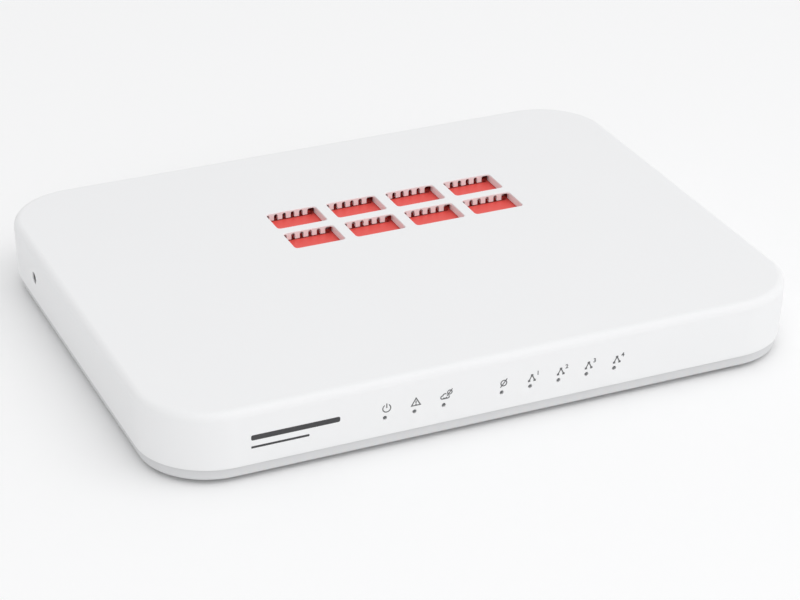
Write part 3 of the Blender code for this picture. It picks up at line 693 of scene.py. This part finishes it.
def makeBaffle():
    plan = bafflePlan
    low, high = baffleLow, baffleHigh
    plate = roundedBlock("bafflePlate", low, high, plan["corner"], 8)
    roundEdges(plate, loopAt(2, high.z), plan["edge"], 3)
    roundEdges(plate, loopAt(2, low.z), plan["edge"], 3)
    halfWidth, halfDepth = (size / 2 for size in coverPlan["window"])
    cuts = []
    for x, y in windowPlaces():
        start = y + halfDepth + plan["slotGap"]
        cuts.append(flaredTool("airSlot", (x - halfWidth + plan["slotInset"], start, low.z - spare),
                               (x + halfWidth - plan["slotInset"], start + plan["slotDepth"], high.z),
                               plan["slotCorner"], plan["slotRim"]))
    for x, y in stakePlaces():
        cuts.append(addRod("stakeHole", (x, y, low.z - spare), 4 * spare, plan["stakeHole"], "Z", 24))
    useTool(plate, cuts)
    finishPiece(plate, "red", "baffle_red", "vent_baffle")
    print("baffle: done,", len(plate.data.polygons), "faces")


# Rear panel: a flange behind the cover's opening, and a raised face with a hole for each socket

panelPlan = lengths(flange=1.3, faceHalf=78.6, faceLow=0.4, faceDrop=0.5, faceCorner=0.8, faceEdge=0.35,
                    gap=0.4, holeCorner=0.7, holeRim=0.3)
panelSockets = ("power_jack", "console_jack", "usb_shell", "lan_jack_shield", "wan_jack_shield")


def makePanel():
    plan = panelPlan
    low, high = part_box("rear_panel")
    panel = addBlock("rearPanel", low, (high.x, low.y + plan["flange"], high.z))
    roundEdges(panel, alongAxis(1), plan["faceCorner"], 4)
    face = addBlock("face", (-plan["faceHalf"], low.y + plan["flange"] / 2, low.z + plan["faceLow"]),
                    (plan["faceHalf"], high.y, high.z - plan["faceDrop"]))
    roundEdges(face, alongAxis(1), plan["faceCorner"], 5)
    roundEdges(face, loopAt(1, high.y), plan["faceEdge"], 4)
    useTool(panel, [face], "UNION")
    cuts = []
    for node in panelSockets:
        boxLow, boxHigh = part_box(node)
        cuts.append(flaredTool("socketHole", (boxLow.x - plan["gap"], low.y - spare, boxLow.z - plan["gap"]),
                               (boxHigh.x + plan["gap"], high.y, boxHigh.z + plan["gap"]),
                               plan["holeCorner"], plan["holeRim"], 1))
    useTool(panel, cuts)
    finishPiece(panel, "case", "cover_white", "rear_panel")
    print("rear panel: done,", len(panel.data.polygons), "faces")


# Network sockets: black housings, folded steel shields, and eight spring wires in each

socketPlan = lengths(
    edge=0.3, depth=13.5, corner=0.2, rim=0.3, overlap=0.6, grooveDepth=0.5, grooveBack=0.5, grooveFront=1.0,
    steps=((5.9, 4.1, 11.0), (3.2, 2.7, 4.1), (1.7, 1.3, 2.7)),  # half width, bottom and top of the mouth
    sheet=0.4, fold=0.55, mouthHalf=6.1, mouthLow=1.0, mouthDrop=1.6, mouthCorner=0.5, mouthRim=0.12,
    mouthDepth=2, tabOut=0.15, tabThick=0.22, tabFront=0.1, tabRoot=0.3, tabHeights=(6.2, 9.4),
    tabRun=((0.3, 0.9), (0.12, 3.2), (-0.15, 1.2)), pitch=1.02, wireWidth=0.45, wireThick=0.36, pivotBack=0.3,
    wireRun=((0.6, 0.0), (1.1, 0.10), (1.5, 0.28), (1.6, 0.40), (1.5, 0.46), (0.9, 0.22), (0.5, -0.06)),
    wireEdge=0.09, barRadius=0.2, barSpare=0.4, barTaper=0.1,
) | {"wires": 8, "grooveShare": 0.3}


def wirePlaces():
    plan = socketPlan
    return [(number - (plan["wires"] - 1) / 2) * plan["pitch"] for number in range(plan["wires"])]


def makeHousing(name, node, centres):
    plan = socketPlan
    low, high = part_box(node)
    housing = addBlock(name, low, high)
    softenEdges(housing, plan["edge"], 3)
    for half, bottom, top in plan["steps"]:
        reach = 0 if half > plan["mouthHalf"] - spare else plan["overlap"]
        useTool(housing, [flaredTool("mouth", (x - half, high.y - plan["depth"], low.z + bottom),
                                     (x + half, high.y, low.z + top + reach), plan["corner"], plan["rim"], 1)
                          for x in centres])
    # grooves in the cavity's ceiling, one for each wire
    ceiling = low.z + plan["steps"][0][2]
    side = plan["pitch"] * plan["grooveShare"]
    back = high.y - plan["depth"] + plan["grooveBack"]
    front = high.y - plan["grooveFront"]
    useTool(housing, [addBlock("groove", (x + place - side, back, ceiling - spare),
                               (x + place + side, front, ceiling + plan["grooveDepth"]))
                      for x in centres for place in wirePlaces()])
    finishPiece(housing, "black", "jack_black", node)


def springTab(x, side, face, base):
    # a strip that turns in at the mouth's edge and runs back along the cavity's side
    plan = socketPlan
    start = x + side * (plan["mouthHalf"] + plan["tabOut"])
    inner = start - side * plan["tabThick"]
    heights = [base + height for height in plan["tabHeights"]]
    front = face - plan["tabFront"]
    root = front - plan["tabRoot"]
    tab = addBlock("tab", (min(start, inner), root, heights[0]), (max(start, inner), front, heights[1]))
    drawOut(tab, root, [(-side * turnIn, -back, 0) for turnIn, back in plan["tabRun"]])
    return tab


def makeShield(name, node, centres):
    plan = socketPlan
    low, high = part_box(node)
    sheet = plan["sheet"]
    shield = addBlock(name, low, high)
    folds = lambda edge: not loopAt(2, low.z)(edge) and not loopAt(1, low.y)(edge)
    roundEdges(shield, folds, plan["fold"], 4)
    room = addBlock("room", (low.x + sheet, low.y - spare, low.z - spare),
                    (high.x - sheet, high.y - sheet, high.z - sheet))
    roundEdges(room, folds, plan["fold"] - sheet, 3)
    useTool(shield, [room])
    start = high.y - plan["mouthDepth"]
    useTool(shield, [flaredTool("mouth", (x - plan["mouthHalf"], start, low.z + plan["mouthLow"]),
                                (x + plan["mouthHalf"], high.y, high.z - plan["mouthDrop"]),
                                plan["mouthCorner"], plan["mouthRim"], 1) for x in centres])
    useTool(shield, [springTab(x, side, high.y, low.z) for x in centres for side in (-1, 1)], "UNION")
    finishPiece(shield, "steel", "steel", node)


def makeWireComb():
    # one comb about the origin, which is its bar's middle
    plan = socketPlan
    wires = []
    side, thick = plan["wireWidth"] / 2, plan["wireThick"] / 2
    for x in wirePlaces():
        wire = addBlock("wire", (x - side, 0, -thick), (x + side, plan["pivotBack"], thick))
        drawOut(wire, 0, [(0, -back, -down) for back, down in plan["wireRun"]])
        wires.append(wire)
    comb = joinUp(wires, "wireComb")
    softenEdges(comb, plan["wireEdge"], 2, 50)
    reach = plan["pitch"] * (plan["wires"] - 1) / 2 + side + plan["barSpare"] / 2
    radius, taper = plan["barRadius"], plan["barTaper"]
    bar = turnedPiece("bar", (0, 0, 0), "X", [
        (radius * 0.7, -reach), (radius, -reach + taper), (radius, reach - taper), (radius * 0.7, reach)], 16)
    return joinUp([comb, bar], "wireComb")


def makeSockets():
    plan = socketPlan
    makeHousing("lanHousing", "lan_jack", lanCentres)
    makeHousing("wanHousing", "wan_jack", [wanCentre])
    makeHousing("consoleHousing", "console_jack", [consoleCentre])
    makeShield("lanShield", "lan_jack_shield", lanCentres)
    makeShield("wanShield", "wan_jack_shield", [wanCentre])
    print("sockets: housings and shields")
    comb = makeWireComb()
    for node in lanNames + ["wan_contacts", "console_contacts"]:
        low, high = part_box(node)
        pivot = (low.x / 2 + high.x / 2, high.y - plan["pivotBack"], high.z - plan["pivotBack"])
        wires = copyOf(comb, pivot, node.replace("contacts", "wires"))
        finishPiece(wires, "gold", "gold", node, body=node)
    discard(comb)
    print("sockets: contact wires")


# USB socket and power inlet

usbPlan = lengths(
    corner=0.7, sheet=0.35, lip=0.18, backDepth=3.1, tongueHalf=5.5, tongueFront=1.6, tongueBelow=2.95,
    tongueAbove=1.1, edge=0.15, strips=(-3.5, -1.0, 1.0, 3.5), stripHalf=0.5, stripEnds=(3.0, 9.6),
    stripThick=0.12, leafPlaces=(-3.1, 3.1), leafHalf=0.9, leafEnds=(4.0, 9.0), leafGap=0.25,
    leafRun=((1.0, 0.16), (1.4, 0.28), (1.0, 0.06), (0.7, -0.14)), slotPast=0.2, leafSkins=(0.04, 0.26),
    leafRoot=(0.2, 0.3),
)


def makeUsbShell(low, high):
    plan = usbPlan
    sheet, gap = plan["sheet"], plan["leafGap"]
    shell = addBlock("usbShell", low, high)
    roundEdges(shell, alongAxis(1), plan["corner"], 5)
    useTool(shell, [flaredTool("room", (low.x + sheet, low.y - spare, low.z + sheet),
                               (high.x - sheet, high.y, high.z - sheet), plan["corner"] - sheet,
                               plan["lip"], 1)])
    slots = []
    leaves = []
    start, end = (high.y - place for place in reversed(plan["leafEnds"]))
    root, front = end - plan["leafRoot"][0], end + plan["leafRoot"][1]
    for x in plan["leafPlaces"]:
        left, right = ((low.x + high.x) / 2 + x + side * plan["leafHalf"] for side in (-1, 1))
        for wall, way in ((low.z, 1), (high.z, -1)):
            spans = sorted((wall - way * spare, wall + way * (sheet + plan["slotPast"])))
            slots.append(addBlock("slot", (left - gap, start, spans[0]), (right + gap, end, spans[1])))
            skins = sorted(wall + way * depth for depth in plan["leafSkins"])
            leaf = addBlock("leaf", (left, root, skins[0]), (right, front, skins[1]))
            drawOut(leaf, root, [(0, -back, way * dip) for back, dip in plan["leafRun"]])
            leaves.append(leaf)
    useTool(shell, slots)
    useTool(shell, leaves, "UNION")
    finishPiece(shell, "steel", "steel", "usb_shell")


def makeUsb():
    plan = usbPlan
    low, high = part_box("usb_shell")
    middle = (low + high) / 2
    makeUsbShell(low, high)
    coreLow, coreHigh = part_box("usb_core")
    core = addBlock("usbCore", coreLow, (coreHigh.x, coreLow.y + plan["backDepth"], coreHigh.z))
    under = high.z - plan["tongueBelow"]
    half = plan["tongueHalf"]
    tongue = addBlock("tongue", (middle.x - half, coreLow.y + spare, under),
                      (middle.x + half, high.y - plan["tongueFront"], high.z - plan["tongueAbove"]))
    useTool(core, [tongue], "UNION")
    softenEdges(core, plan["edge"], 3)
    finishPiece(core, "nylon", "usb_white", "usb_core")

    strips = []
    start, end = (high.y - place for place in reversed(plan["stripEnds"]))
    half, thick = plan["stripHalf"], plan["stripThick"]
    for x in plan["strips"]:
        strip = addBlock("strip", (middle.x + x - half, start, under - thick / 2),
                         (middle.x + x + half, end, under + thick / 2))
        softenEdges(strip, thick * 0.4, 2)
        strips.append(strip)
    finishPiece(joinUp(strips, "usbStrips"), "gold", "gold")
    print("usb socket: done")


powerPlan = lengths(
    edge=0.4, radius=3.1, depth=10.0, rim=0.35, lift=0.2, pinRadius=1.0, dome=0.5,
) | {"domeSteps": 5}


def makePowerInlet():
    plan = powerPlan
    low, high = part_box("power_jack")
    centre = middleOf("power_jack") + Vector((0, 0, plan["lift"]))
    radius, rim = plan["radius"], plan["rim"]
    jack = addBlock("powerInlet", low, high)
    softenEdges(jack, plan["edge"], 4)
    useTool(jack, [turnedPiece("socket", centre, "Y", [
        (radius, high.y - plan["depth"]), (radius, high.y - rim), (radius + rim * 0.35, high.y - rim * 0.45),
        (radius + rim, high.y), (radius + rim, high.y + spare)], 56)])
    finishPiece(jack, "black", "jack_black", "power_jack")
    pinLow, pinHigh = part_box("power_jack_pin")
    radius, dome, steps = plan["pinRadius"], plan["dome"], plan["domeSteps"]
    turns = [math.pi / 2 * step / steps for step in range(steps)]
    profile = [(radius * math.cos(turn), pinHigh.y - dome + dome * math.sin(turn)) for turn in turns]
    pin = turnedPiece("powerPin", centre, "Y", [(radius, pinLow.y)] + profile)
    finishPiece(pin, "steel", "steel", "power_jack_pin")
    print("power inlet: done")


# Light pipes: a clear bar with a rod to the front wall, and a leg down to each lamp

pipePlan = lengths(rod=0.4, leg=(0.8, 0.7), edge=0.2, dome=0.15, margin=1.4, halfDepth=1.0)


def lightPlaces():
    margin, lift = pipePlan["margin"], pipePlan["halfDepth"]
    places = []
    for node, count in (("status_light_pipe", 3), ("port_light_pipe", 5)):
        low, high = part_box(node)
        first, last = low.x + margin, high.x - margin
        places += [(first + (last - first) * k / (count - 1), high.z - lift) for k in range(count)]
    return places


def makeLightPipe(name, node, first, count):
    plan = pipePlan
    low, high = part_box(node)
    bar = addBlock(name, (low.x, high.y - 2 * plan["halfDepth"], high.z - 2 * plan["halfDepth"]), high)
    places = lightPlaces()[first:first + count]
    middle = high.y - plan["halfDepth"]
    halfX, halfY = plan["leg"]
    useTool(bar, [addBlock("leg", (x - halfX, middle - halfY, low.z), (x + halfX, middle + halfY, z))
                  for x, z in places], "UNION")
    softenEdges(bar, plan["edge"], 3)
    radius, dome = plan["rod"], plan["dome"]
    rod = [(radius * 0.35, low.y), (radius * 0.72, low.y + dome * 0.3), (radius * 0.94, low.y + dome * 0.7),
           (radius, low.y + dome), (radius, middle)]
    useTool(bar, [turnedPiece("rod", (x, 0, z), "Y", rod, 20) for x, z in places], "UNION")
    finishPiece(bar, "clear", "light_pipe_clear", node)


# Reset button in the left side, with the switch behind it

resetPlan = lengths(stem=1.5, collar=2.7, collarThick=1.2, collarEdge=0.15, wall=2.8, edge=0.3, dish=0.15,
                    tipEdge=0.2, guide=1.9, guideDepth=2.5, switchEdge=0.3)


def makeReset():
    plan = resetPlan
    low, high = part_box("reset_button")
    centre = (low + high) / 2
    stem, edge, dish, tip = plan["stem"], plan["edge"], plan["dish"], plan["tipEdge"]
    front = coverLow.x + plan["wall"]
    back = front + plan["collarThick"]
    collar, soft = plan["collar"], plan["collarEdge"]
    button = turnedPiece("resetStem", centre, "X", [
        (stem * 0.3, low.x + dish), (stem * 0.55, low.x + dish * 0.5), (stem - edge, low.x),
        (stem - edge * 0.3, low.x + edge * 0.25), (stem, low.x + edge), (stem, front), (collar - soft, front),
        (collar, front + soft), (collar, back - soft), (collar - soft, back), (stem, back),
        (stem, high.x - tip), (stem - tip, high.x)], 40)
    finishPiece(button, "button", "button_black", "reset_button", body="reset_button")
    switchLow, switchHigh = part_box("reset_switch")
    switch = addBlock("resetSwitch", switchLow, switchHigh)
    softenEdges(switch, plan["switchEdge"], 3)
    useTool(switch, [addRod("guide", (switchLow.x - spare, centre.y, centre.z), plan["guideDepth"] + spare,
                            plan["guide"], "X")])
    finishPiece(switch, "epoxy", "button_black", "reset_switch")
    print("reset button: done")


# Screws with a cross recess, and rubber feet

screwPlan = lengths(
    shaft=1.35, root=1.12, pitch=0.55, tip=0.55, recess=0.75, recessHalf=1.55, recessDepth=0.95,
    caseScrew=((1.2, 0.0), (0.5, 0.15), (0.12, 0.42), (0.0, 0.75), (0.0, 1.4)),  # the head: inset and depth
    boardScrew=((1.1, 0.0), (0.45, 0.15), (0.1, 0.45), (0.0, 0.8), (0.0, 1.6)),
)


def threadProfile(start, end, way):
    # rings of thread from the head to the tip
    plan = screwPlan
    profile = [(plan["shaft"], start)]
    count = int(abs(end - start) / plan["pitch"]) - 1
    for number in range(count):
        place = start + way * plan["pitch"] * (number + 0.7)
        profile += [(plan["shaft"], place), (plan["root"], place + way * plan["pitch"] * 0.4)]
    profile += [(plan["shaft"], start + way * plan["pitch"] * (count + 0.5)), (plan["tip"], end)]
    return profile


def makeScrew(name, node, way):
    # way is +1 where the head is below the shaft
    plan = screwPlan
    low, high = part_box(node)
    face, tip = (low.z, high.z) if way > 0 else (high.z, low.z)
    profile = [((high.x - low.x) / 2 - inset, face + way * depth) for inset, depth in plan[name]]
    profile += threadProfile(profile[-1][1], tip, way)
    if way < 0:
        profile.reverse()
    screw = turnedPiece(name, (0, 0, 0), "Z", profile)
    half, narrow, floor = plan["recessHalf"], plan["recess"] / 2, face + way * plan["recessDepth"]
    spans = sorted((face - way * spare, floor))
    for halfX, halfY in ((half, narrow), (narrow, half)):
        shape = addBlock("cross", (-halfX, -halfY, spans[0]), (halfX, halfY, spans[1]))
        editWhere(shape, faceAt(2, floor), "FACE")
        growAcross(2, 0.6)
        leaveEdit()
        useTool(screw, [shape])
    return screw


def makeScrews():
    kinds = {"case": makeScrew("caseScrew", "case_screw_front_left", 1),
             "board": makeScrew("boardScrew", "board_screw_front_left", -1)}
    for name in sideNames:
        for kind, screw in kinds.items():
            node = kind + "_screw_" + name
            spot = middleOf(node)
            piece = copyOf(screw, (spot.x, spot.y, 0), kind + "Screw_" + name)
            finishPiece(piece, "screw", "screw_steel", node)
    discard(*kinds.values())
    print("screws: done")


footPlan = lengths(
    edge=0.6, dish=0.12, dishRadius=4.6, dishRims=(0.6, 0.3), flat=1,
) | {"edgeSteps": 4, "sides": 56}


def makeFeet():
    plan = footPlan
    low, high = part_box("foot_front_left")
    radius = (high.x - low.x) / 2
    turns = [math.pi / 2 * step / plan["edgeSteps"] for step in range(plan["edgeSteps"] + 1)]
    profile = [(radius, high.z)]
    profile += [(radius - plan["edge"] * (1 - math.cos(turn)), plan["edge"] * (1 - math.sin(turn)))
                for turn in turns]
    dish, dishRadius = plan["dish"], plan["dishRadius"]
    outer, inner = plan["dishRims"]
    profile += [(dishRadius + outer, 0), (dishRadius + inner, dish * 0.3), (dishRadius, dish),
                (plan["flat"], dish)]
    foot = turnedPiece("foot", (0, 0, 0), "Z", profile, plan["sides"])
    for name in sideNames:
        spot = middleOf("foot_" + name)
        piece = copyOf(foot, (spot.x, spot.y, 0), "footPad_" + name)
        finishPiece(piece, "rubber", "foot_rubber", "foot_" + name)
    discard(foot)
    print("feet: done")


# Rating label: a blank film with plain ruled bars

labelPlan = lengths(
    corner=1.6, edge=0.06, thick=0.02, margin=1.5, frame=0.3, frameCorners=(1.0, 0.8), barCorner=0.25,
    bars=((-14.0, 9.0, 34.0, 2.0), (-17.0, 4.6, 28.0, 0.8), (-17.0, 2.2, 28.0, 0.8), (-20.0, -0.2, 22.0, 0.8),
          (-17.0, -4.6, 28.0, 0.8), (-22.0, -7.0, 18.0, 0.8), (22.0, -8.0, 18.0, 0.8)),
)


def makeLabel():
    plan = labelPlan
    low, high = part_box("rating_label")
    middle = (low + high) / 2
    film = roundedBlock("labelFilm", low, high, plan["corner"], 6)
    roundEdges(film, loopAt(2, low.z), plan["edge"], 2)
    finishPiece(film, "film", "label_silver", "rating_label")
    bottom, top = low.z - plan["thick"], low.z + plan["thick"]
    bars = []
    for across, up, length, height in plan["bars"]:
        centre = Vector((middle.x - across, middle.y + up))  # read from below, the label's left is at +X
        bar = addBlock("bar", (centre.x - length / 2, centre.y - height / 2, bottom),
                       (centre.x + length / 2, centre.y + height / 2, top))
        roundEdges(bar, upright, plan["barCorner"], 3)
        bars.append(bar)
    ring = addBlock("ring", *inset(low, high, plan["margin"], bottom, top))
    hole = addBlock("hole", *inset(low, high, plan["margin"] + plan["frame"], low.z - spare, high.z))
    roundEdges(ring, upright, plan["frameCorners"][0], 4)
    roundEdges(hole, upright, plan["frameCorners"][1], 4)
    useTool(ring, [hole])
    finishPiece(joinUp(bars + [ring], "labelPrint"), "filmPrint", "label_silver")
    print("label: done")


# Front print: a sign over each indicator, and two plain bars at the left

printPlan = lengths(
    lift=2.8, thick=0.04, sink=0.01, frontLow=5.3, leanRise=15.9, leanOut=0.5,
    shifts=((0.5, 0.3), (0.4, 0.25), (0.35, 0.0), (0.55, 0.25), (0.45, 0.0), (0.65, 0.1), (0.6, 0.1),
            (0.75, 0.0)),
    barPlaces=((-64.2, 14.1), (-68.9, 11.0)),
)
signPlan = {  # drawn flat in millimetres, about each sign's middle
    "line": 0.34, "powerRing": 1.4, "powerCut": (1.3, 1.6), "powerStem": (0.85, 1.5),
    "alertRing": 1.95, "alertDrop": 0.25, "alertMark": (0.1, 0.85), "alertDot": -0.68,
    "puffs": ((-0.85, -0.15, 0.7), (0.0, 0.2, 0.95), (0.85, -0.2, 0.65)), "cloudFloor": (0.0, -0.5, 1.7, 0.7),
    "badge": (1.45, 1.2), "badgeRoom": 1.15, "badgeRing": 0.85, "wanRing": 1.1, "slash": (3.1, 52),
    "treeTop": (0.85, 0.8, 0.7), "treeLeg": (0.48, -0.05, 1.8, 62), "treeFoot": (0.9, -0.95, 0.75, 0.65),
    "digitPlace": (1.45, 0.6, -0.5), "digitSize": 1.9, "digitBold": 0.05, "bars": ((27.0, 1.7), (17.6, 0.7)),
}


def discSign(x, y, radius, sides=40, depth=1.0):
    deselectAll()
    bpy.ops.mesh.primitive_cylinder_add(vertices=sides, radius=radius, depth=depth, location=(x, y, 0))
    return settle(bpy.context.object, "sign")


def barSign(x, y, length, width, turn=0.0, depth=1.0):
    deselectAll()
    bpy.ops.mesh.primitive_cube_add(size=1, location=(x, y, 0), rotation=(0, 0, math.radians(turn)))
    bpy.context.object.scale = (length, width, depth)
    return settle(bpy.context.object, "sign")


def ringSign(x, y, radius, line, sides=40):
    ring = discSign(x, y, radius, sides)
    useTool(ring, [discSign(x, y, radius - line, sides, 3.0)])
    return ring


def slashedRing(x, y, radius, line):
    reach, turn = signPlan["slash"]
    ring = ringSign(x, y, radius, line)
    useTool(ring, [barSign(x, y, reach * radius, line, turn)], "UNION")
    return ring


def powerSign(line):
    radius = signPlan["powerRing"]
    ring = ringSign(0, 0, radius, line)
    useTool(ring, [barSign(0, radius, *signPlan["powerCut"], 0, 3.0)])
    y, length = signPlan["powerStem"]
    return [ring, barSign(0, y, line, length)]


def alertSign(line):
    triangle = ringSign(0, -signPlan["alertDrop"], signPlan["alertRing"], 2 * line, 3)
    y, length = signPlan["alertMark"]
    return [triangle, barSign(0, y, line, length), discSign(0, signPlan["alertDot"], line * 0.62, 16)]


def cloudSign(line):
    def filled(shrink, depth):
        x, y, width, height = signPlan["cloudFloor"]
        shape = barSign(x, y, width, height - 2 * shrink, 0, depth)
        for x, y, radius in signPlan["puffs"]:
            useTool(shape, [discSign(x, y, radius - shrink, 40, depth)], "UNION")
        return shape
    cloud = filled(0, 1.0)
    useTool(cloud, [filled(line, 3.0)])
    useTool(cloud, [discSign(*signPlan["badge"], signPlan["badgeRoom"], 32, 3.0)])
    return [cloud, slashedRing(*signPlan["badge"], signPlan["badgeRing"], line * 0.9)]


def lanSign(line, digit):
    shape = barSign(0, *signPlan["treeTop"])
    legX, legY, length, lean = signPlan["treeLeg"]
    footX, *foot = signPlan["treeFoot"]
    for side in (-1, 1):
        useTool(shape, [barSign(side * legX, legY, length, line, -side * lean)], "UNION")
        useTool(shape, [barSign(side * footX, *foot)], "UNION")
    deselectAll()
    bpy.ops.object.text_add(location=signPlan["digitPlace"])
    text = bpy.context.object.data
    text.body = str(digit)
    text.size = signPlan["digitSize"]
    text.extrude = 0.5
    text.offset = signPlan["digitBold"]
    bpy.ops.object.convert(target="MESH")
    bpy.context.object.location.z = 0
    return [shape, settle(bpy.context.object, "digit")]


def placeSign(shapes, name, x, z, finish="ink"):
    # the flat shapes are stood up against the leaning front wall
    plan = printPlan
    sign = joinUp(shapes, name)
    lean = math.atan2(plan["leanOut"], plan["leanRise"])
    frontY = coverLow.y + plan["leanOut"] * (1 - (z - plan["frontLow"]) / plan["leanRise"])
    sign.scale = (mm, mm, plan["thick"])
    sign.rotation_euler = (math.pi / 2 + lean, 0, 0)
    sign.location = (x, frontY - plan["thick"] / 2 + plan["sink"], z)
    settle(sign, name)
    finishPiece(sign, finish, "button_black")


def makePrint():
    plan = printPlan
    line = signPlan["line"]
    signs = [("powerSign", powerSign(line)), ("alertSign", alertSign(line)), ("cloudSign", cloudSign(line)),
             ("wanSign", [slashedRing(0, 0, signPlan["wanRing"], line)])]
    signs += [("lanSign" + str(digit), lanSign(line, digit)) for digit in range(1, 5)]
    for (name, shapes), (x, z), (aside, up) in zip(signs, lightPlaces(), plan["shifts"]):
        placeSign(shapes, name, x + aside, z + plan["lift"] + up)
    for number, ((x, z), (length, height)) in enumerate(zip(plan["barPlaces"], signPlan["bars"]), 1):
        bar = barSign(0, 0, length, height)
        roundEdges(bar, upright, 0.3 * height, 4)
        placeSign([bar], "plainBar" + str(number), x, z, "darkInk")
    print("front print: done")


# Inside parts that keep their solids and get a finish

keptFinishes = {
    "board": ["main_board"], "pad": ["thermal_pad"], "steel": ["clock_crystal"],
    "ferrite": ["power_inductor"],
    "aluminium": ["heatsink", "filter_capacitor_left", "filter_capacitor_right"],
    "epoxy": ["processor", "memory_chip_left", "memory_chip_right", "flash_chip", "network_switch_chip",
              "lan_transformer_left", "lan_transformer_right", "wan_transformer"],
    "lamp": ["status_lamp_" + str(number) for number in range(1, 4)]
            + ["port_lamp_" + str(number) for number in range(1, 6)],
}


def finishKept():
    for finish, nodes in keptFinishes.items():
        for name in nodes:
            for place in bpy.data.objects[name].material_slots:
                place.material = finishes[finish]
    print("inside parts finished:", sum(len(nodes) for nodes in keptFinishes.values()))


makeCover()
makeBase()
makeBaffle()
makePanel()
makeSockets()
makeUsb()
makePowerInlet()
makeLightPipe("statusPipe", "status_light_pipe", 0, 3)
makeLightPipe("portPipe", "port_light_pipe", 3, 5)
makeReset()
makeScrews()
makeFeet()
makeLabel()
makePrint()
finishKept()


# Camera, floor and lights

viewPlan = {
    "turn": -23.98, "rise": 27.597, "roll": 0.305, "distance": 0.80427, "aside": 0.00281, "up": -0.01196,
    "aimHeight": 0.01689, "lens": 114.66, "sensor": 36.0, "clipStart": 0.02,
}
lightPlan = {
    "sky": (0.99, 0.993, 1.0), "skyStrength": 0.785, "skySlope": 0.17,
    "floorColour": (0.98, 0.98, 0.98), "floorSize": 12.0, "floorRoughness": 0.9, "floorGloss": 0.2,
    "boxSize": 1.1,
    "boxes": {"frontLight": ((-0.2, -0.95, 1.25), 3.7), "sideLight": ((0.75, -0.65, 1.3), 3.2)},
}


def makeCamera():
    plan = viewPlan
    turn, rise, roll = (math.radians(plan[key]) for key in ("turn", "rise", "roll"))
    back = Vector((math.sin(turn) * math.cos(rise), -math.cos(turn) * math.cos(rise), math.sin(rise)))
    right = Vector((math.cos(turn), math.sin(turn), 0))
    up = back.cross(right)
    rolledRight = right * math.cos(roll) + up * math.sin(roll)
    rolledUp = up * math.cos(roll) - right * math.sin(roll)
    deselectAll()
    bpy.ops.object.camera_add()
    camera = bpy.context.object
    camera.name = "viewCamera"
    camera.data.lens = plan["lens"]
    camera.data.sensor_width = plan["sensor"]
    camera.data.clip_start = plan["clipStart"]
    place = Vector((0, 0, plan["aimHeight"])) + rolledRight * plan["aside"] + rolledUp * plan["up"]
    place += back * plan["distance"]
    turned = Matrix((rolledRight, rolledUp, back)).transposed().to_4x4()
    camera.matrix_world = Matrix.Translation(place) @ turned
    bpy.context.scene.camera = camera


def makeFloor():
    plan = lightPlan
    deselectAll()
    bpy.ops.mesh.primitive_plane_add(size=plan["floorSize"])
    floor = bpy.context.object
    floor.name = "studioFloor"
    paper, tree, shader = newMaterial("palePaper")
    shader["Base Color"].default_value = (*plan["floorColour"], 1)
    shader["Roughness"].default_value = plan["floorRoughness"]
    shader["Specular IOR Level"].default_value = plan["floorGloss"]
    floor.data.materials.append(paper)


def makeLights():
    plan = lightPlan
    world = bpy.data.worlds.new("studioSky")
    world.use_nodes = True
    tree = world.node_tree
    sky = tree.nodes["Background"].inputs
    sky["Color"].default_value = (*plan["sky"], 1)
    # the sky is a little weaker at the left than at the right
    way = addNode(tree, "ShaderNodeTexCoord").outputs["Generated"]
    across = addNode(tree, "ShaderNodeSeparateXYZ", None, {"Vector": way}).outputs["X"]
    limits = {"From Min": -1.0, "From Max": 1.0, "To Min": plan["skyStrength"] * (1 - plan["skySlope"]),
              "To Max": plan["skyStrength"] * (1 + plan["skySlope"])}
    strength = addNode(tree, "ShaderNodeMapRange", limits, {"Value": across})
    tree.links.new(strength.outputs["Result"], sky["Strength"])
    bpy.context.scene.world = world
    for name, (place, power) in plan["boxes"].items():
        deselectAll()
        bpy.ops.object.light_add(type="AREA", location=place)
        light = bpy.context.object
        light.name = name
        light.data.size = plan["boxSize"]
        light.data.energy = power
        light.rotation_euler = (-Vector(place)).to_track_quat("-Z", "Y").to_euler()
    bpy.context.scene.view_settings.view_transform = "Standard"


makeCamera()
makeFloor()
makeLights()
print("camera and room made")
